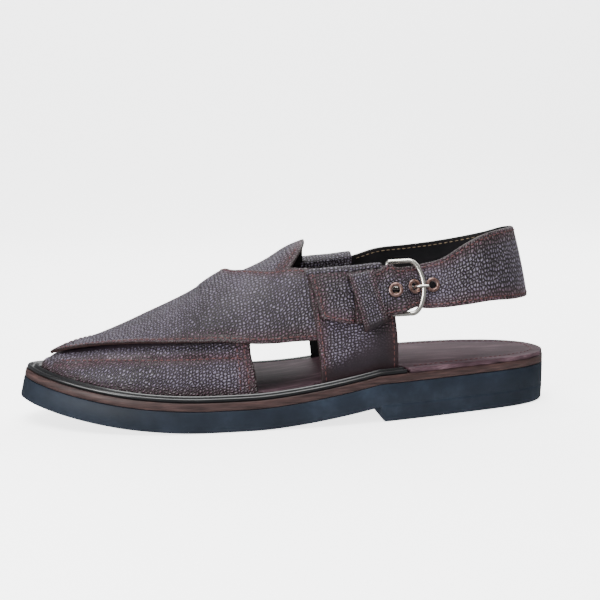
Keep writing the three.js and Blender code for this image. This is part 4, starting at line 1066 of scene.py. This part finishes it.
def makeFold(side, outerOff, lastShare):
    s, around = levelEdge(side, bandEdges[side]["high"])(np.linspace(0, lastShare, 90))
    innerOff, thick = foldSettings["innerOff"], foldSettings["thickness"]
    middle, radius = (outerOff + innerOff) / 2, (outerOff - innerOff) / 2
    skin = [(-drop, outerOff) for drop in (2.0, 1.2, 0.5)]
    skin += [(np.sin(angle) * radius * 0.55, middle + radius * np.cos(angle))
             for angle in np.linspace(0, np.pi, foldSettings["round"])]
    skin += [(-drop, innerOff) for drop in np.linspace(0.6, foldSettings["inside"], 8)]
    back = [(up if up < 0 else up * 0.2, off - thick if i < 8 else off + thick)
            for i, (up, off) in enumerate(skin)]
    scale = sizeAround(s, around) * -side
    rings = np.stack([onLast(s, around + up / scale, off + 0 * s) for up, off in skin + back[::-1]], 1)
    # Away from its cut edges the fold counts as 12 mm from an edge, so it takes the lighter, cooler colour: a
    # painted highlight on its top.
    distance = np.full(rings.shape[:2], 12.0)
    distance[[0, -1]] = distance[:, len(skin) - 1] = 0.2
    across = np.cumsum(np.linalg.norm(rings - np.roll(rings, 1, 1), axis=2), 1)
    laid = np.stack([s[:, None] + 0 * across, across], -1) * mm
    settle(ringSolid(sideNames[side] + "_fold", rings, grainLeather, "ladder", {"edgeDistance": distance},
                     laid), "upper_leather", "upper")


makeFold(outerSide, 3 * wall + 0.05, 0.93)
makeFold(innerSide, pocket + wall, 1.0)

# Buckle: rows of (back, up, out) from its front bar's middle; the prong's are shares of the bow and heights.
buckleSettings = {"wire": 1.25, "halfHeight": 14.2, "corner": 2.1, "prong": 0.8, "eye": 0.6}
prongTable = [(0.06, -0.5), (0.18, -1.6), (0.44, -2.4), (0.59, -2.6), (0.67, -1.9), (0.722, -0.5), (0.775, 1),
              (0.86, 2.1), (1, 2.5), (1.12, 2.2)]


def buckleAxes():
    level, reach = strapSettings["level"], buckleSettings["halfHeight"] / shoe["ankle"]
    low, high = (hug(outerSide, strapSettings["hingeAt"], level + k * reach,
                     2 * wall - buckleSettings["wire"])
                 for k in (-1, 1))
    along = strapAlongAt(strapSettings["barAt"])
    up = unit(unit(high - low) + unit(strapPoint(along, 1.0) - strapPoint(along, 0.0)))
    back = onStrap(along, 0.5, halfStrap + 3 * fit + buckleSettings["wire"]) - (low + high) / 2
    back -= up * (back @ up)
    out = np.cross(up, unit(back))
    return (low + high) / 2, np.stack([unit(back), up, out * (-1 if out[1] > 0 else 1)]), np.linalg.norm(back)


buckleOrigin, buckleTurn, buckleLength = buckleAxes()


def onBuckle(rows):
    return buckleOrigin + np.asarray(rows, float) @ buckleTurn


def bezier(points, count):
    t = np.linspace(0, 1, count, endpoint=False)[:, None]
    p = [np.asarray(point, float) + 0 * t for point in points]
    while len(p) > 1:
        p = [mix(a, b, t) for a, b in zip(p, p[1:])]
    return p[0]


def evenly(points, count):
    points = np.vstack([points, points[:1]])
    run = runAlong(points)
    at = np.linspace(0, run[-1], count, endpoint=False)
    return np.stack([np.interp(at, run, points[:, k]) for k in range(points.shape[1])], -1)


def makeBuckle():
    h, corner, bow = buckleSettings["halfHeight"], buckleSettings["corner"], buckleLength
    arm = bow - h * 0.53
    low = arm + h * 0.04
    flat = np.vstack([bezier(points, count) for points, count in (
        ([(0, 0), (0, h - corner)], 20), ([(0, h - corner), (0, h), (corner, h)], 12),
        ([(corner, h), (arm, h)], 16), ([(arm, h), (arm + h * 0.28, h), (bow, h * 0.46), (bow, 0)], 40),
        ([(bow, 0), (bow, -h * 0.46), (arm + h * 0.35, -h), (low, -h)], 40), ([(low, -h), (corner, -h)], 16),
        ([(corner, -h), (0, -h), (0, corner - h)], 12), ([(0, corner - h), (0, 0)], 20))])
    ring = evenly(np.column_stack([flat, np.zeros(len(flat))]), 180)
    settle(wire("buckle_wire", onBuckle(ring), buckleSettings["wire"], 20, True, buckleTurn[2]),
           "buckle_nickel", "buckle_frame")
    line = curveThrough([(back * bow, 0, out) for back, out in prongTable], False, 70)
    settle(wire("prong_wire", onBuckle(line), buckleSettings["prong"], 16, False, buckleTurn[1]),
           "buckle_nickel", "buckle_prong")
    loop = circle(40, np.array([1.0, 0, 0]), np.array([0, 0, 1.0])) * (buckleSettings["wire"] + fit + 0.5)
    settle(wire("prong_eye", onBuckle(loop), buckleSettings["eye"], 12, True, buckleTurn[1]), "buckle_nickel")


# Eyelets with a rolled rim, turned round their holes: radius and height of the section.
def makeEyelets():
    face = halfStrap + 1.5 * fit
    roll = [(2.1 + 1.75 * (0.5 - 0.5 * np.cos(a)), face + 0.08 + 0.42 * np.sin(a) ** 0.8)
            for a in np.linspace(0.0, np.pi, 12)]
    profile = [(2.05, -fit), (2.5, -fit), (2.6, face - 0.35), (3.88, face - 0.2), *roll[::-1]]
    for i, s in enumerate(strapSettings["eyelets"], 1):
        centre, out, up, side = eyeletFrame(s)
        rings = [centre + circle(40, side, up) * radius + out * height for radius, height in profile]
        settle(ringSolid(f"eyelet_ring_{i}", rings, copper, "joined"), "eyelet_copper", f"eyelet_{i}")


# Keeper loop over the strap's tail, slanting back; an eyelet of the tail below is pressed through it as a
# ring. Its rear and front edges give low and high places along the shoe, then low and high levels.
keeperSettings = {"thickness": 1.6, "width": 16.0, "rear": (0.349, 0.372, 0.638, 0.936),
                  "front": (0.389, 0.413, 0.585, 0.908), "ringAt": (0.42, 0.46), "ringSize": 3.4}


def makeKeeper():
    thick, width = keeperSettings["thickness"], keeperSettings["width"]
    seat, face = 3 * wall + fit, 3 * wall + 4 * fit + strapSettings["thickness"]
    outer, turn = face + thick, thick / shoe["ankle"]
    section = [(up, 0.0, outer - max(0, 1.3 - min(up, 1 - up) * 36) ** 2 * 0.55)
               for up in np.linspace(0, 1, 40)]
    section += [(1, 0.0, off) for off in np.linspace(outer - 1.4, seat, 6)]
    section += [(1, -turn * 0.5, seat), (1, -turn, seat + 0.2), (1, -turn, face - 0.3)]
    section += [(up, 0.0, face) for up in np.linspace(0.93, 0.07, 20)]
    section += [(0, turn, face - 0.3), (0, turn, seat + 0.2), (0, turn * 0.5, seat)]
    section += [(0, 0.0, off) for off in np.linspace(seat, outer - 1.4, 6)]
    up, step, off = np.array(section).T
    t = edgeSteps(width, 40, 0.5)[:, None]
    sink = 0.5 - np.sqrt(np.maximum(0, 0.25 - np.maximum(0, 0.5 - np.minimum(t, 1 - t) * width) ** 2))
    ring = np.hypot((t - keeperSettings["ringAt"][0]) * 14.5, (up - keeperSettings["ringAt"][1]) * 30)
    off = np.where(off > face + 0.4, off - sink + 0.28 * bell(ring, keeperSettings["ringSize"], 0.8), off)
    lowAt, highAt, low, high = (mix(a, b, t) for a, b in zip(keeperSettings["rear"], keeperSettings["front"]))
    rings = hug(outerSide, mix(lowAt, highAt, up) * length, mix(low, high, up) + step, off)
    # Edge distance drawn about twice the true one, so the keeper takes the lighter, cooler colour: a painted
    # highlight.
    distance = np.minimum(t, 1 - t) * 34 + 0 * up
    across = np.cumsum(np.linalg.norm(rings - np.roll(rings, 1, 1), axis=2), 1)
    laid = np.stack([t * width + 0 * across, across], -1) * mm
    # Its lower bend, turned under the strap, is drawn smooth and darker: painted shade.
    fadeAndShade = 0.9 * (1 - smooth(0.04, 0.16, up)) + 0 * t
    settle(ringSolid("keeper_loop", rings, grainLeather, "face",
                     {"edgeDistance": distance, "grainFadeAndShade": fadeAndShade}, laid),
           "upper_leather", "keeper")


makeBuckle()
makeEyelets()
makeKeeper()
print("buckle, eyelets and keeper are made")

# Stitches: one small thread shape on every place of a row, by Geometry Nodes.
stitchSettings = {"pitch": 3.3, "size": (2.5, 0.62), "lift": 0.08}
stitchInputs = ("Stitch length", "Thread thickness")


# A row beside an edge of a piece: edge "v1" is the one where v is 1, inset in millimetres, span its part.
def rowOnPiece(place, outer, edge, inset, span, lift=stitchSettings["lift"]):
    t = np.linspace(*span, 400)
    gridT, gridC = np.meshgrid(t, np.linspace(0, 1, 30), indexing="ij")
    order = 1 if edge[0] == "v" else -1
    spots = (gridT, gridC)[::order]
    c = inset / np.linalg.norm(np.diff(place(*spots, outer(*spots)), axis=1), axis=2).sum(1)
    spots = (t, c if edge[1] == "0" else 1 - c)[::order]
    off = outer(*spots) + lift
    points = place(*spots, off)
    return points, place(*spots, off + 1.0) - points


def rowPlaces(spots, normals, pitch):
    run = runAlong(spots)
    count = max(2, int(run[-1] / pitch))
    at = (np.arange(count) + 0.5) * run[-1] / count

    def read(rows, x):
        return np.stack([np.interp(x, run, rows[:, k]) for k in range(3)], -1)

    turns = []
    for tangent, normal in zip(read(spots, at + 0.4) - read(spots, at - 0.4), read(normals, at)):
        x, z = Vector(tangent).normalized(), Vector(normal)
        z = (z - x * z.dot(x)).normalized()
        turns.append(Matrix((x, z.cross(x), z)).transposed().to_euler())
    return read(spots, at), np.array(turns)


def stitchTree(material):
    tree = bpy.data.node_groups.new("stitchRows", "GeometryNodeTree")
    tree.interface.new_socket("Geometry", in_out="INPUT", socket_type="NodeSocketGeometry")
    for label in stitchInputs:
        tree.interface.new_socket(label, in_out="INPUT", socket_type="NodeSocketFloat")
    tree.interface.new_socket("Geometry", in_out="OUTPUT", socket_type="NodeSocketGeometry")
    given = addNode(tree, "NodeGroupInput").outputs
    ball = addNode(tree, "GeometryNodeMeshUVSphere", {"Segments": 8, "Rings": 6, "Radius": 0.5})
    size = addNode(tree, "ShaderNodeCombineXYZ", {"X": given[stitchInputs[0]], "Y": given[stitchInputs[1]],
                                                  "Z": given[stitchInputs[1]]})
    turn = addNode(tree, "GeometryNodeInputNamedAttribute", {"Name": "turn"}, data_type="FLOAT_VECTOR")
    rotation = addNode(tree, "FunctionNodeEulerToRotation", {"Euler": turn.outputs["Attribute"]})
    placed = addNode(tree, "GeometryNodeInstanceOnPoints", {
        "Points": given["Geometry"], "Instance": ball.outputs["Mesh"],
        "Rotation": rotation.outputs["Rotation"],
        "Scale": size.outputs["Vector"]})
    real = addNode(tree, "GeometryNodeRealizeInstances", {"Geometry": placed.outputs["Instances"]})
    soft = addNode(tree, "GeometryNodeSetShadeSmooth", {"Geometry": real.outputs["Geometry"]})
    dressed = addNode(tree, "GeometryNodeSetMaterial",
                      {"Geometry": soft.outputs["Geometry"], "Material": material})
    addNode(tree, "NodeGroupOutput", {"Geometry": dressed.outputs["Geometry"]})
    return tree


def makeStitches(name, rows, slotName, material, pitch=stitchSettings["pitch"], size=stitchSettings["size"]):
    centres, turns = zip(*(rowPlaces(spots, normals, pitch) for spots, normals in rows))
    source = makeObject(name + "_places", np.vstack(centres), [], [])
    layer = source.data.attributes.new("turn", "FLOAT_VECTOR", "POINT")
    layer.data.foreach_set("vector", np.vstack(turns).astype(np.float32).ravel())
    tree = stitchTree(material)
    modifier = source.modifiers.new("stitches", "NODES")
    modifier.node_group = tree
    ids = {item.name: item.identifier for item in tree.interface.items_tree if item.in_out == "INPUT"}
    for label, value in zip(stitchInputs, size):
        modifier[ids[label]] = value * mm
    mesh = bpy.data.meshes.new_from_object(source.evaluated_get(bpy.context.evaluated_depsgraph_get()))
    made = bpy.data.objects.new(name, mesh)
    bpy.context.collection.objects.link(made)
    bpy.data.objects.remove(source)
    settle(made, slotName)


def stitchUpper():
    top, under = onRegion(topSpots), onRegion(underSpots)
    rows = [rowOnPiece(top, topOuter, *row) for row in (
        ("v1", 2.4, (0.33, 0.985)), ("v1", 2.4, (0.02, 0.28)), ("v0", 2.4, (0.03, 0.97)))]
    rows.append(underSeamRow())
    rows += [rowOnPiece(under, underOuter, *row) for row in (
        ("u0", 2.2, (0.02, 0.5)), ("u0", 5.0, (0.02, 0.42)), ("v1", 2.4, (0.12, 0.58)))]
    for side in sides:
        rows += [rowOnPiece(onRegion(quarterSpots[side]), quarterOuter(side), edge, inset, (0.03, 0.62))
                 for edge, inset in (("v0", 2.4), ("v1", 2.6))]
    for side, outer, edges in ((outerSide, bandOuter, ("u0", "v0")),
                               (innerSide, lambda u, v: pocket + wall + 0 * u, ("u0", "v0", "u1"))):
        rows += [rowOnPiece(onRegion(bandSpots[side]), outer, edge, 2.0 if edge == "v0" else 2.4,
                            (0.05, 0.95))
                 for edge in edges]
    makeStitches("upper_stitches", rows, "upper_leather", thread)


def stitchStrap():
    edges = [rowOnPiece(onStrap, lambda u, v: halfStrap + 0 * u, edge, 2.2, (0.14, 0.985))
             for edge in ("v0", "v1")]
    makeStitches("strap_stitches", edges, "upper_leather", thread)
    inward = [rowOnPiece(onStrap, lambda u, v: -halfStrap + 0 * u, edge, 2.0, (0.14, 0.8),
                         -stitchSettings["lift"])
              for edge in ("v0", "v1")]
    makeStitches("lining_stitches", [(spots, -normals) for spots, normals in inward], "upper_leather",
                 paleThread)


def stitchInsole():
    s = np.linspace(1.5, 86, 300)[::-1]
    walks = [onSole(ps, py, bedAt(ps) + shoe["insole"] + 0.06)
             for ps, py in (rim(side, s, 6.5) for side in sides)]
    spots = np.vstack([walks[0], walks[1][::-1]])
    makeStitches("insole_stitches", [(spots, np.tile([0.0, 0, 1], (len(spots), 1)))], "insole_leather",
                 thread, 3.2, (2.2, 0.5))


stitchUpper()
stitchStrap()
stitchInsole()
print("stitches are made")


# Floor and backdrop in one sweep of pale paper, too bright to be mirrored in the leather.
def makeBackdrop():
    turn = np.linspace(0, np.pi / 2, 24)
    profile = [(-3000, 0), *zip(1100 + 900 * np.sin(turn), 900 - 900 * np.cos(turn)), (2000, 4000)]
    points = [(x, y, z) for y, z in profile for x in (-4000, 4000)]
    faces = [(2 * i, 2 * i + 1, 2 * i + 3, 2 * i + 2) for i in range(len(profile) - 1)]
    paper = newMaterial("palePaper", Roughness=0.95, Base_Color=toLinear("#f6f6f6"),
                        Emission_Color=toLinear("#ffffff"), Emission_Strength=2.6)[0]
    sweep = makeObject("backdrop", points, faces, [paper])
    sweep.visible_glossy = False


makeBackdrop()
